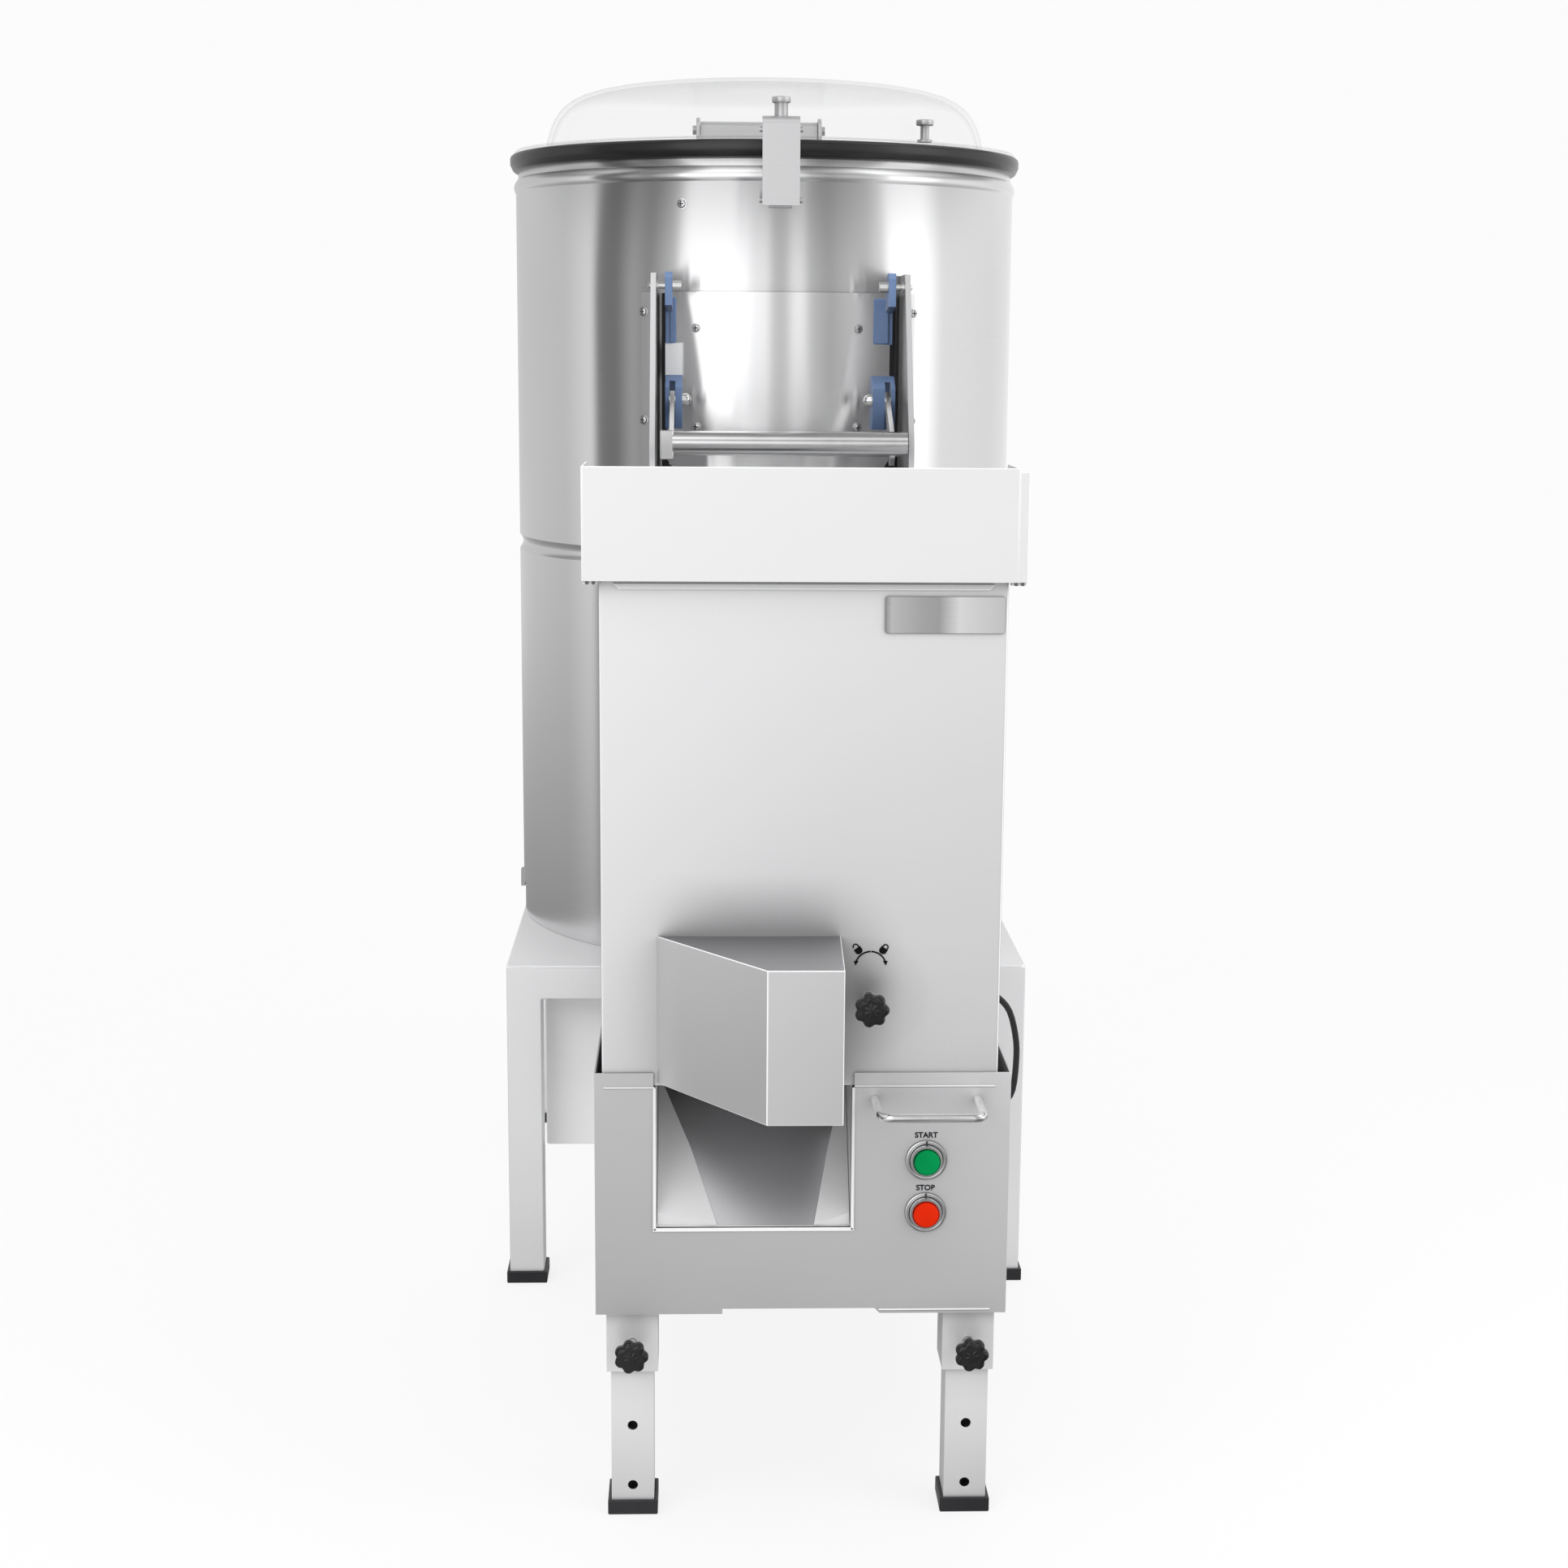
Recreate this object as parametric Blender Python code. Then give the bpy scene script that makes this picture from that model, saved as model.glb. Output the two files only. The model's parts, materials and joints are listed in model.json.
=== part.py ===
"""Potato peeler with a chip cutter in front of it.

A round peeling drum with a clear lid stands on a square stand. Its discharge door, a curved plate
with a bail handle, empties into the hopper tray of the cutter cabinet in front. The cabinet sits in
a lower housing with two telescopic legs and hooks onto the stand at its rear.

Metres, +Z up. The front is at -Y. The origin is on the floor under the middle of the whole machine.
"""
import math

import bmesh
import bpy

# Driving dimensions
seat_gap = 0.0003
overrun = 0.006

drum_radius = 0.301
stand_side_in = 0.001
stand_margin = 0.019
stand_height = 0.384
shell_sheet = 0.0015
skirt_show = 0.0385
shell_height = 0.8823
lid_rise = 0.0832

front_reach = 0.590
cabinet_centre_x = 0.0155
cabinet_width = 0.362
cabinet_depth = 0.556
cabinet_height = 0.4605
cabinet_sheet = 0.0015

housing_left_gap = 0.007
housing_right_gap = 0.012
housing_height = 0.232
housing_floor_height = 0.204
cabinet_sink = 0.012

hood_reach = 0.125
lid_pivot_out = 0.029
lid_ear_radius = 0.0165

# Places worked out from them. The machine's depth runs from the hood to the lid's hinge ears.
stand_width = 2 * (drum_radius - stand_side_in)
stand_depth = 2 * (drum_radius + stand_margin)
lid_pivot_reach = drum_radius + lid_pivot_out
stand_front_y = (front_reach + hood_reach - stand_depth / 2 - lid_pivot_reach - lid_ear_radius) / 2
stand_back_y = stand_front_y + stand_depth
drum_y = stand_front_y + stand_depth / 2
cabinet_front_y = stand_front_y - front_reach
cabinet_back_y = cabinet_front_y + cabinet_depth
cabinet_left_x = cabinet_centre_x - cabinet_width / 2
cabinet_right_x = cabinet_centre_x + cabinet_width / 2
housing_left_x = cabinet_left_x - housing_left_gap
housing_right_x = cabinet_right_x + housing_right_gap
housing_top_z = housing_floor_height + housing_height
cabinet_bottom_z = housing_top_z - cabinet_sink
cabinet_top_z = cabinet_bottom_z + cabinet_height
shell_bottom_z = stand_height + skirt_show
shell_top_z = shell_bottom_z + shell_height
shell_inner_radius = drum_radius - shell_sheet

round_steps = 44
trim_steps = 112
body_steps = 28
bar_steps = 24
small_steps = 20
pin_steps = 14
panel_steps = 14

fold_angle = math.radians(20)
fold_segments = 2


# Scene and materials

def clear_scene():
    for piece in list(bpy.data.objects):
        bpy.data.objects.remove(piece, do_unlink=True)


def finish(piece, colour, roughness, metallic, smooth_degrees=30.0, alpha=1.0):
    """Give a piece its own Principled material and smooth shading across its gentle edges."""
    material = bpy.data.materials.new(piece.name)
    material.use_nodes = True
    shader = material.node_tree.nodes["Principled BSDF"]
    shader.inputs["Base Color"].default_value = (*colour, 1.0)
    shader.inputs["Roughness"].default_value = roughness
    shader.inputs["Metallic"].default_value = metallic
    shader.inputs["Alpha"].default_value = alpha
    piece.data.materials.clear()
    piece.data.materials.append(material)
    if piece.type == "CURVE":
        for line in piece.data.splines:
            line.use_smooth = True
        return piece
    piece.data.shade_smooth()
    piece.data.set_sharp_from_angle(angle=math.radians(smooth_degrees))
    return piece


def brushed(piece):
    return finish(piece, (0.62, 0.62, 0.64), 0.32, 1.0)


def polished(piece):
    return finish(piece, (0.75, 0.75, 0.77), 0.12, 1.0)


def bright_sheet(piece):
    return finish(piece, (0.80, 0.80, 0.81), 0.35, 0.9)


def black_rubber(piece):
    return finish(piece, (0.02, 0.02, 0.022), 0.6, 0.0)


def black_plastic(piece):
    return finish(piece, (0.015, 0.015, 0.018), 0.3, 0.0)


def blue_plastic(piece):
    return finish(piece, (0.10, 0.19, 0.38), 0.45, 0.0)


def cast_grey(piece):
    return finish(piece, (0.32, 0.33, 0.34), 0.5, 0.4)


# Shapes

def add_mesh(name, points, faces):
    mesh = bpy.data.meshes.new(name)
    mesh.from_pydata(points, [], faces)
    mesh.validate()
    piece = bpy.data.objects.new(name, mesh)
    bpy.context.collection.objects.link(piece)
    return piece


def face_outward(piece):
    """Turn the faces of a closed mesh outward."""
    work = bmesh.new()
    work.from_mesh(piece.data)
    bmesh.ops.recalc_face_normals(work, faces=work.faces)
    work.to_mesh(piece.data)
    work.free()
    return piece


def box(name, low, high):
    corners = []
    for z in (low[2], high[2]):
        corners += [(low[0], low[1], z), (high[0], low[1], z), (high[0], high[1], z), (low[0], high[1], z)]
    faces = [(3, 2, 1, 0), (4, 5, 6, 7), (0, 1, 5, 4), (1, 2, 6, 5), (2, 3, 7, 6), (3, 0, 4, 7)]
    return face_outward(add_mesh(name, corners, faces))


def extruded(name, outline, axis, low, high):
    """A flat outline pushed along one axis: X takes (y, z) points, Y takes (x, z), Z takes (x, y)."""
    points = []
    for along in (low, high):
        for first, second in outline:
            if axis == "X":
                points.append((along, first, second))
            elif axis == "Y":
                points.append((first, along, second))
            else:
                points.append((first, second, along))
    count = len(outline)
    faces = [tuple(range(count)), tuple(range(2 * count - 1, count - 1, -1))]
    for index in range(count):
        after = (index + 1) % count
        faces.append((index, after, after + count, index + count))
    return face_outward(add_mesh(name, points, faces))


def turned(name, outline, centre, axis="Z", steps=round_steps):
    """A closed (radius, height) outline turned round an axis through centre."""
    points = []
    rings = []
    for radius, height in outline:
        ring = []
        turns = steps if radius > 0 else 1
        for step in range(turns):
            angle = 2 * math.pi * step / steps
            across = radius * math.cos(angle)
            over = radius * math.sin(angle)
            if axis == "Z":
                place = (centre[0] + across, centre[1] + over, centre[2] + height)
            elif axis == "Y":
                place = (centre[0] + across, centre[1] + height, centre[2] + over)
            else:
                place = (centre[0] + height, centre[1] + across, centre[2] + over)
            ring.append(len(points))
            points.append(place)
        rings.append(ring)
    faces = []
    for index, ring in enumerate(rings):
        other = rings[(index + 1) % len(rings)]
        if len(ring) == 1 and len(other) == 1:
            continue
        for step in range(steps):
            after = (step + 1) % steps
            if len(ring) == 1:
                faces.append((ring[0], other[step], other[after]))
            elif len(other) == 1:
                faces.append((ring[step], other[0], ring[after]))
            else:
                faces.append((ring[step], other[step], other[after], ring[after]))
    return face_outward(add_mesh(name, points, faces))


def rod(name, centre, axis, radius, low, high, steps=small_steps):
    """A round bar along an axis. Its ends are given along that axis, relative to centre."""
    return turned(name, [(0, low), (radius, low), (radius, high), (0, high)], centre, axis, steps)


def ring_tube(name, outer, inner, low, high):
    """A tube between two outlines with as many points each, standing upright."""
    count = len(outer)
    points = [(x, y, low) for x, y in outer] + [(x, y, high) for x, y in outer]
    points += [(x, y, low) for x, y in inner] + [(x, y, high) for x, y in inner]
    faces = []
    for index in range(count):
        after = (index + 1) % count
        faces.append((index, after, after + count, index + count))
        faces.append((index + 2 * count, index + 3 * count, after + 3 * count, after + 2 * count))
        faces.append((index + count, after + count, after + 3 * count, index + 3 * count))
        faces.append((after, index, index + 2 * count, after + 2 * count))
    return face_outward(add_mesh(name, points, faces))


def square(centre_x, centre_y, side):
    half = side / 2
    return [
        (centre_x - half, centre_y - half),
        (centre_x + half, centre_y - half),
        (centre_x + half, centre_y + half),
        (centre_x - half, centre_y + half),
    ]


def rounded_rectangle(low, high, radius, steps=4):
    """Corner arcs of one radius, counter-clockwise, in the outline's own two axes."""
    outline = []
    corners = (
        (high[0] - radius, high[1] - radius, 0),
        (low[0] + radius, high[1] - radius, 1),
        (low[0] + radius, low[1] + radius, 2),
        (high[0] - radius, low[1] + radius, 3),
    )
    for centre_x, centre_y, quarter in corners:
        for step in range(steps + 1):
            angle = math.pi / 2 * (quarter + step / steps)
            outline.append((centre_x + radius * math.cos(angle), centre_y + radius * math.sin(angle)))
    return outline


def sheet(name, points, faces, thickness, bend=0.0):
    """Folded sheet metal: faces are its outer skin, wound so that their normals point outward."""
    piece = add_mesh(name, points, faces)
    if bend > 0:
        fold = piece.modifiers.new("Fold radius", "BEVEL")
        fold.width = bend
        fold.segments = fold_segments
        fold.limit_method = "ANGLE"
        fold.angle_limit = fold_angle
    wall = piece.modifiers.new("Sheet thickness", "SOLIDIFY")
    wall.thickness = thickness
    wall.offset = -1.0
    wall.use_even_offset = True
    return piece


def soften(piece, width, segments=1, degrees=35):
    """Break the sharp edges of a machined or moulded piece."""
    edge = piece.modifiers.new("Softened edges", "BEVEL")
    edge.width = width
    edge.segments = segments
    edge.limit_method = "ANGLE"
    edge.angle_limit = math.radians(degrees)
    edge.use_clamp_overlap = True
    return piece


def combine(piece, other, operation, label):
    step = piece.modifiers.new(label, "BOOLEAN")
    step.operation = operation
    step.object = other
    step.solver = "EXACT"
    other.hide_render = True
    other.display_type = "WIRE"
    return piece


def cut(piece, *cutters):
    for cutter in cutters:
        combine(piece, cutter, "DIFFERENCE", "Cut by " + cutter.name)
    return piece


def join(piece, *others):
    for other in others:
        combine(piece, other, "UNION", "Joined to " + other.name)
    return piece


def hang(piece, origin):
    """Put the piece's own origin on its joint's axis without moving its shape."""
    for vertex in piece.data.vertices:
        vertex.co.x -= origin[0]
        vertex.co.y -= origin[1]
        vertex.co.z -= origin[2]
    piece.location = origin
    return piece


def drum_surface_y(radius, x):
    """The front of a cylinder round the drum's axis, at a distance x from its middle plane."""
    return drum_y - math.sqrt(radius * radius - x * x)


def drum_arc(radius, x_low, x_high, steps):
    """Points along the front of such a cylinder, from left to right."""
    start = math.asin(x_low / radius)
    end = math.asin(x_high / radius)
    arc = []
    for step in range(steps + 1):
        angle = start + (end - start) * step / steps
        arc.append((radius * math.sin(angle), drum_y - radius * math.cos(angle)))
    return arc


def drum_panel(name, inner, outer, x_low, x_high, z_low, z_high, steps=10):
    """A piece of cylinder wall on the front of the drum, between two radii."""
    outline = drum_arc(outer, x_low, x_high, steps) + drum_arc(inner, x_low, x_high, steps)[::-1]
    return extruded(name, outline, "Z", z_low, z_high)


def cylinder_cutter(name, radius, low, high):
    """A finely stepped cylinder round the drum's axis, to trim what is seated on the drum."""
    outline = [(0, low), (radius, low), (radius, high), (0, high)]
    return turned(name, outline, (0, drum_y, 0), "Z", trim_steps)


# Stand: welded square tube under a folded top sheet

stand_plate = 0.004
stand_tube = 0.040
stand_tube_wall = 0.002
stand_edge = 0.0015
top_corner = 0.006
weld_z = stand_height - stand_plate / 2
rail_bottom_z = stand_height - stand_tube
foot_floor = 0.006
foot_height = 0.020
foot_wall = 0.004
foot_flare = 0.003
hub_hole_radius = 0.024
drain_radius = 0.021
drain_in = 0.066
drain_back_offset = drum_radius - drain_in


def make_stand_frame():
    """Two portals and two side rails of hollow tube, with the top sheet welded over them."""
    half = stand_width / 2
    leg_foot_z = foot_floor + seat_gap
    frame = block_frame("stand_frame", *tube_lines(0, leg_foot_z, weld_z), stand_cell)
    inner_top_z = stand_height - stand_plate - stand_tube_wall
    void = block_frame(
        "stand_void", *tube_lines(stand_tube_wall, leg_foot_z - overrun, inner_top_z), stand_cell
    )
    outline = rounded_rectangle((-half, stand_front_y), (half, stand_back_y), top_corner)
    top = extruded("stand_top", outline, "Z", stand_height - stand_plate, stand_height)
    soften(top, stand_edge, 2)
    under = -stand_plate - overrun
    hub_hole = rod("hub_hole", (0, drum_y, stand_height), "Z", hub_hole_radius, under, overrun)
    drain_centre = (0, drum_y + drain_back_offset, stand_height)
    drain_hole = rod("drain_hole", drain_centre, "Z", drain_radius + 2 * seat_gap, under, overrun)
    soften(frame, stand_edge, 1)
    return cut(join(frame, top), hub_hole, drain_hole, void)


def tube_lines(inset, low, high):
    """Grid lines along the sides of the stand's tubes, or of their hollows, inset from the sides."""
    half = stand_width / 2
    x_lines = (-half + inset, -half + stand_tube - inset, half - stand_tube + inset, half - inset)
    y_lines = (
        stand_front_y + inset, stand_front_y + stand_tube - inset,
        stand_back_y - stand_tube + inset, stand_back_y - inset,
    )
    return x_lines, y_lines, (low, rail_bottom_z + inset, high)


def stand_cell(i, j, k):
    """Cells of the stand's frame: corners all the way down, rails in the upper layer only."""
    corner = i != 1 and j != 1
    rail = (i == 1) != (j == 1)
    return corner or (rail and k == 1)


def block_frame(name, x_lines, y_lines, z_lines, filled):
    """A closed mesh of the filled cells of a grid, with flat faces merged across the cells."""
    counts = (len(x_lines) - 1, len(y_lines) - 1, len(z_lines) - 1)

    def is_filled(i, j, k):
        inside = 0 <= i < counts[0] and 0 <= j < counts[1] and 0 <= k < counts[2]
        return inside and filled(i, j, k)

    work = bmesh.new()
    corners = {}

    def corner(i, j, k):
        if (i, j, k) not in corners:
            corners[(i, j, k)] = work.verts.new((x_lines[i], y_lines[j], z_lines[k]))
        return corners[(i, j, k)]

    sides = (
        ((-1, 0, 0), ((0, 0, 0), (0, 0, 1), (0, 1, 1), (0, 1, 0))),
        ((1, 0, 0), ((1, 0, 0), (1, 1, 0), (1, 1, 1), (1, 0, 1))),
        ((0, -1, 0), ((0, 0, 0), (1, 0, 0), (1, 0, 1), (0, 0, 1))),
        ((0, 1, 0), ((0, 1, 0), (0, 1, 1), (1, 1, 1), (1, 1, 0))),
        ((0, 0, -1), ((0, 0, 0), (0, 1, 0), (1, 1, 0), (1, 0, 0))),
        ((0, 0, 1), ((0, 0, 1), (1, 0, 1), (1, 1, 1), (0, 1, 1))),
    )
    for i in range(counts[0]):
        for j in range(counts[1]):
            for k in range(counts[2]):
                if not is_filled(i, j, k):
                    continue
                for step, offsets in sides:
                    if not is_filled(i + step[0], j + step[1], k + step[2]):
                        work.faces.new([corner(i + a, j + b, k + c) for a, b, c in offsets])
    flat = math.radians(1)
    bmesh.ops.dissolve_limit(work, angle_limit=flat, verts=work.verts, edges=work.edges)
    mesh = bpy.data.meshes.new(name)
    work.to_mesh(mesh)
    work.free()
    piece = bpy.data.objects.new(name, mesh)
    bpy.context.collection.objects.link(piece)
    return piece


def make_foot(name, centre_x, centre_y, tube_side):
    """A rubber cap pushed over the end of a square tube, wider at the floor."""
    socket = tube_side + 2 * seat_gap
    rim = socket + 2 * foot_wall
    base = rim + 2 * foot_flare
    rings = (
        (base, 0),
        (base, foot_floor),
        (rim, foot_height),
        (socket, foot_height),
        (socket, foot_floor),
    )
    points = []
    for side, height in rings:
        points += [(x, y, height) for x, y in square(centre_x, centre_y, side)]
    faces = [(3, 2, 1, 0), (16, 17, 18, 19)]
    for ring in range(len(rings) - 1):
        for index in range(4):
            after = (index + 1) % 4
            low = 4 * ring
            faces.append((low + index, low + after, low + 4 + after, low + 4 + index))
    return face_outward(add_mesh(name, points, faces))


# Drive under the stand: motor, belt and the shaft of the peeling disc

shaft_radius = 0.012
flange_radius = 0.070
flange_thickness = 0.010
bearing_radius = 0.042
bearing_length = 0.080
motor_gap = 0.015
motor_height = 0.118
motor_fin_depth = 0.006
motor_fins = 18
motor_flange = 0.008
motor_shaft_radius = 0.0095
motor_bore_depth = 0.030
pulley_clearance = 0.010
pulley_width = 0.024
pulley_spacing = 0.025
motor_pulley_radius = 0.035
groove_depth = 0.009
groove_floor_width = 0.008
belt_thickness = 0.0065
belt_big_steps = 30
belt_small_steps = 10
cover_side_gap = 0.0015
cover_setback = 0.045
cover_back_gap = 0.155
cover_drop = 0.2263
cover_sheet = 0.0015
cover_bend = 0.003

motor_room = stand_width / 2 - stand_tube - flange_radius
motor_offset_x = -(flange_radius + motor_room / 2)
motor_radius = motor_room / 2 - motor_flange - motor_gap
disc_pulley_radius = -motor_offset_x - motor_pulley_radius - pulley_spacing
cover_width = stand_width - 2 * (stand_tube + cover_side_gap)
cover_depth = stand_depth - cover_setback - cover_back_gap
plate_under_z = stand_height - stand_plate
hanging_z = plate_under_z - seat_gap
motor_bottom_z = hanging_z - motor_height
pulley_top_z = motor_bottom_z - pulley_clearance
belt_z = pulley_top_z - pulley_width / 2


def make_drive_cover():
    """A five-sided tray of folded sheet that hangs under the top and hides motor and belt."""
    left = -cover_width / 2
    right = cover_width / 2
    front = stand_front_y + cover_setback
    back = front + cover_depth
    low = plate_under_z - cover_drop
    high = hanging_z
    points = [
        (left, front, low), (right, front, low), (right, back, low), (left, back, low),
        (left, front, high), (right, front, high), (right, back, high), (left, back, high),
    ]
    faces = [(3, 2, 1, 0), (0, 1, 5, 4), (1, 2, 6, 5), (2, 3, 7, 6), (3, 0, 4, 7)]
    return sheet("drive_cover", points, faces, cover_sheet, cover_bend)


def make_bearing_housing():
    """A flanged cast housing, bolted under the top, with the shaft's bore through it."""
    bore = shaft_radius + seat_gap
    outline = [
        (bore, -bearing_length),
        (bearing_radius, -bearing_length),
        (bearing_radius, -flange_thickness),
        (flange_radius, -flange_thickness),
        (flange_radius, 0),
        (bore, 0),
    ]
    return turned("bearing_housing", outline, (0, drum_y, hanging_z), "Z", body_steps)


def pulley_outline(radius, top):
    """Half section of a pulley whose rim has a V groove, turned in one with its shaft."""
    low = top - pulley_width
    middle = top - pulley_width / 2
    outline = [(0, low), (radius, low)]
    outline.append((radius, middle - groove_floor_width))
    outline.append((radius - groove_depth, middle - groove_floor_width / 2))
    outline.append((radius - groove_depth, middle + groove_floor_width / 2))
    outline.append((radius, middle + groove_floor_width))
    outline.append((radius, top))
    return outline


def make_disc_shaft():
    """The disc's shaft with its big belt pulley keyed to its lower end."""
    outline = pulley_outline(disc_pulley_radius, pulley_top_z)
    shaft_top = disc_seat_z - seat_gap
    outline.append((shaft_radius, pulley_top_z))
    outline.append((shaft_radius, shaft_top))
    outline.append((0, shaft_top))
    piece = turned("disc_shaft", outline, (0, drum_y, 0), "Z", body_steps)
    return hang(piece, (0, drum_y, belt_z))


def make_peeler_motor():
    """A flange motor with cooling fins, its shaft end facing down."""
    outline = []
    root_radius = motor_radius - motor_fin_depth
    for fin in range(motor_fins):
        for part, reach in enumerate((motor_radius, motor_radius, root_radius, root_radius)):
            angle = 2 * math.pi * (fin + part / 4) / motor_fins
            outline.append((motor_offset_x + reach * math.cos(angle), drum_y + reach * math.sin(angle)))
    motor = extruded("peeler_motor", outline, "Z", motor_bottom_z, hanging_z - motor_flange / 2)
    flange_top = (motor_offset_x, drum_y, hanging_z)
    flange = rod("motor_flange", flange_top, "Z", motor_radius + motor_flange, -motor_flange, 0)
    bore = rod(
        "motor_bore", (motor_offset_x, drum_y, motor_bottom_z), "Z",
        motor_shaft_radius + seat_gap, -overrun, motor_bore_depth,
    )
    return cut(join(motor, flange), bore)


def make_motor_pulley():
    outline = pulley_outline(motor_pulley_radius, pulley_top_z)
    shaft_top = motor_bottom_z + motor_bore_depth - pulley_clearance
    outline.append((motor_shaft_radius, pulley_top_z))
    outline.append((motor_shaft_radius, shaft_top))
    outline.append((0, shaft_top))
    piece = turned("motor_pulley", outline, (motor_offset_x, drum_y, 0), "Z", bar_steps)
    return hang(piece, (motor_offset_x, drum_y, belt_z))


def belt_outline(offset):
    """An open belt round both pulleys: two arcs joined by their outer tangents."""
    big = disc_pulley_radius - groove_depth + offset
    small = motor_pulley_radius - groove_depth + offset
    distance = -motor_offset_x
    lean = math.acos((big - small) / distance)
    outline = []
    for step in range(belt_big_steps + 1):
        angle = -(math.pi - lean) + 2 * (math.pi - lean) * step / belt_big_steps
        outline.append((big * math.cos(angle), drum_y + big * math.sin(angle)))
    for step in range(belt_small_steps + 1):
        angle = (math.pi - lean) + 2 * lean * step / belt_small_steps
        outline.append((motor_offset_x + small * math.cos(angle), drum_y + small * math.sin(angle)))
    return outline


def make_drive_belt():
    inner = belt_outline(seat_gap)
    outer = belt_outline(belt_thickness)
    half = (groove_floor_width - 2 * seat_gap) / 2
    return ring_tube("drive_belt", outer, inner, belt_z - half, belt_z + half)


# Peeling drum: base pan, shell, liner and the wave-topped abrasive disc

base_sheet = 0.002
base_floor_rise = 0.030
base_wall_rise = 0.066
base_radius = shell_inner_radius - seat_gap
hub_boss_radius = 0.030
disc_clearance = 0.012
disc_thickness = 0.010
disc_edge_gap = 0.010
disc_wave_height = 0.018
disc_wave_count = 3
disc_steps = 36
disc_ring_shares = (0.14, 0.3, 0.5, 0.7, 0.88, 1.0)
wave_swell_power = 0.7
wave_crest_power = 1.5
disc_hub_radius = 0.040
disc_hub_depth = 0.006
liner_thickness = 0.003
liner_start_rise = 0.004
groove_rise = 0.427
bead_half = 0.009
groove_in = 0.004
bead_drop = 0.030
bead_out = 0.0035
neck_in = 0.003
drain_wall = 0.0015
drain_bend_radius = 0.040
drain_drop = 0.090
drain_tail = 0.045
drain_bend_steps = 6
drain_sides = 16

base_floor_z = stand_height + base_floor_rise
disc_seat_z = base_floor_z + base_sheet + disc_clearance
disc_under_z = disc_seat_z + disc_hub_depth
groove_z = shell_bottom_z + groove_rise
bead_z = shell_top_z - bead_drop
neck_radius = drum_radius - neck_in


def make_drum_base():
    """A spun pan: its skirt stands on the top sheet and its rim reaches up inside the shell."""
    low = stand_height + seat_gap
    high = stand_height + base_wall_rise
    inner = base_radius - base_sheet
    bore = shaft_radius + seat_gap
    outline = [
        (base_radius, low),
        (base_radius, high),
        (inner, high),
        (inner, base_floor_z + base_sheet),
        (hub_boss_radius, base_floor_z + base_sheet),
        (hub_boss_radius, disc_seat_z - seat_gap),
        (bore, disc_seat_z - seat_gap),
        (bore, base_floor_z),
        (inner, base_floor_z),
        (inner, low),
    ]
    pan = turned("drum_base", outline, (0, drum_y, 0))
    drain_centre = (0, drum_y + drain_back_offset, base_floor_z)
    hole = rod("pan_hole", drain_centre, "Z", drain_radius + seat_gap, -overrun, base_sheet + overrun)
    return cut(pan, hole)


def make_drain_pipe():
    """The waste outlet: a bent tube from the pan's floor down through the top and out behind."""
    inner = drain_radius - drain_wall
    y = drum_y + drain_back_offset
    top = base_floor_z + base_sheet / 2
    bend_z = plate_under_z - drain_drop
    path = [(0, y, top), (0, y, bend_z)]
    for step in range(1, drain_bend_steps + 1):
        angle = math.pi / 2 * step / drain_bend_steps
        path.append((
            0,
            y + drain_bend_radius * (1 - math.cos(angle)),
            bend_z - drain_bend_radius * math.sin(angle),
        ))
    path.append((0, y + drain_bend_radius + drain_tail, bend_z - drain_bend_radius))
    points = []
    sides = drain_sides
    for index, place in enumerate(path):
        before = path[max(index - 1, 0)]
        after = path[min(index + 1, len(path) - 1)]
        lean = math.atan2(after[1] - before[1], before[2] - after[2])
        for radius in (drain_radius, inner):
            for side in range(sides):
                angle = 2 * math.pi * side / sides
                across = radius * math.cos(angle)
                over = radius * math.sin(angle)
                points.append((across, place[1] + over * math.cos(lean), place[2] + over * math.sin(lean)))
    faces = []
    for index in range(len(path) - 1):
        low = index * 2 * sides
        high = low + 2 * sides
        for side in range(sides):
            after = (side + 1) % sides
            faces.append((low + side, low + after, high + after, high + side))
            faces.append((low + sides + side, high + sides + side, high + sides + after, low + sides + after))
    for low in (0, (len(path) - 1) * 2 * sides):
        for side in range(sides):
            after = (side + 1) % sides
            faces.append((low + side, low + sides + side, low + sides + after, low + after))
    return face_outward(add_mesh("drain_pipe", points, faces))


def shell_line(steps=4):
    """The shell's outer line from its lower edge to its rim: a groove, then a bead and a neck."""
    line = [(drum_radius, shell_bottom_z)]
    for step in range(steps + 1):
        angle = math.pi * step / steps
        line.append((drum_radius - groove_in * math.sin(angle), groove_z - bead_half * math.cos(angle)))
    for step in range(steps + 1):
        share = step / steps
        radius = drum_radius - neck_in * share + bead_out * math.sin(math.pi * share)
        line.append((radius, bead_z - bead_half + 2 * bead_half * share))
    line.append((neck_radius, shell_top_z))
    return line


door_centre_x = 0.0105
opening_half = 0.104
opening_rise = 0.5445
opening_height = 0.166
inlet_radius = 0.0105
inlet_rise = 0.6525

opening_bottom_z = shell_bottom_z + opening_rise
opening_top_z = opening_bottom_z + opening_height
inlet_z = shell_bottom_z + inlet_rise


def make_drum_shell():
    """Rolled stainless shell, rounded in section by its groove and bead, with the door opening."""
    line = shell_line()
    outline = line + [(radius - shell_sheet, height) for radius, height in line[::-1]]
    shell = turned("drum_shell", outline, (0, drum_y, 0))
    opening = box(
        "door_opening",
        (door_centre_x - opening_half, drum_y - drum_radius - overrun, opening_bottom_z),
        (door_centre_x + opening_half, drum_y - drum_radius / 2, opening_top_z),
    )
    inlet_hole = rod(
        "inlet_hole", (0, drum_y + drum_radius, inlet_z), "Y", inlet_radius + seat_gap,
        -shell_sheet - overrun, overrun,
    )
    return join(cut(shell, opening, inlet_hole), make_latch_catch())


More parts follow.
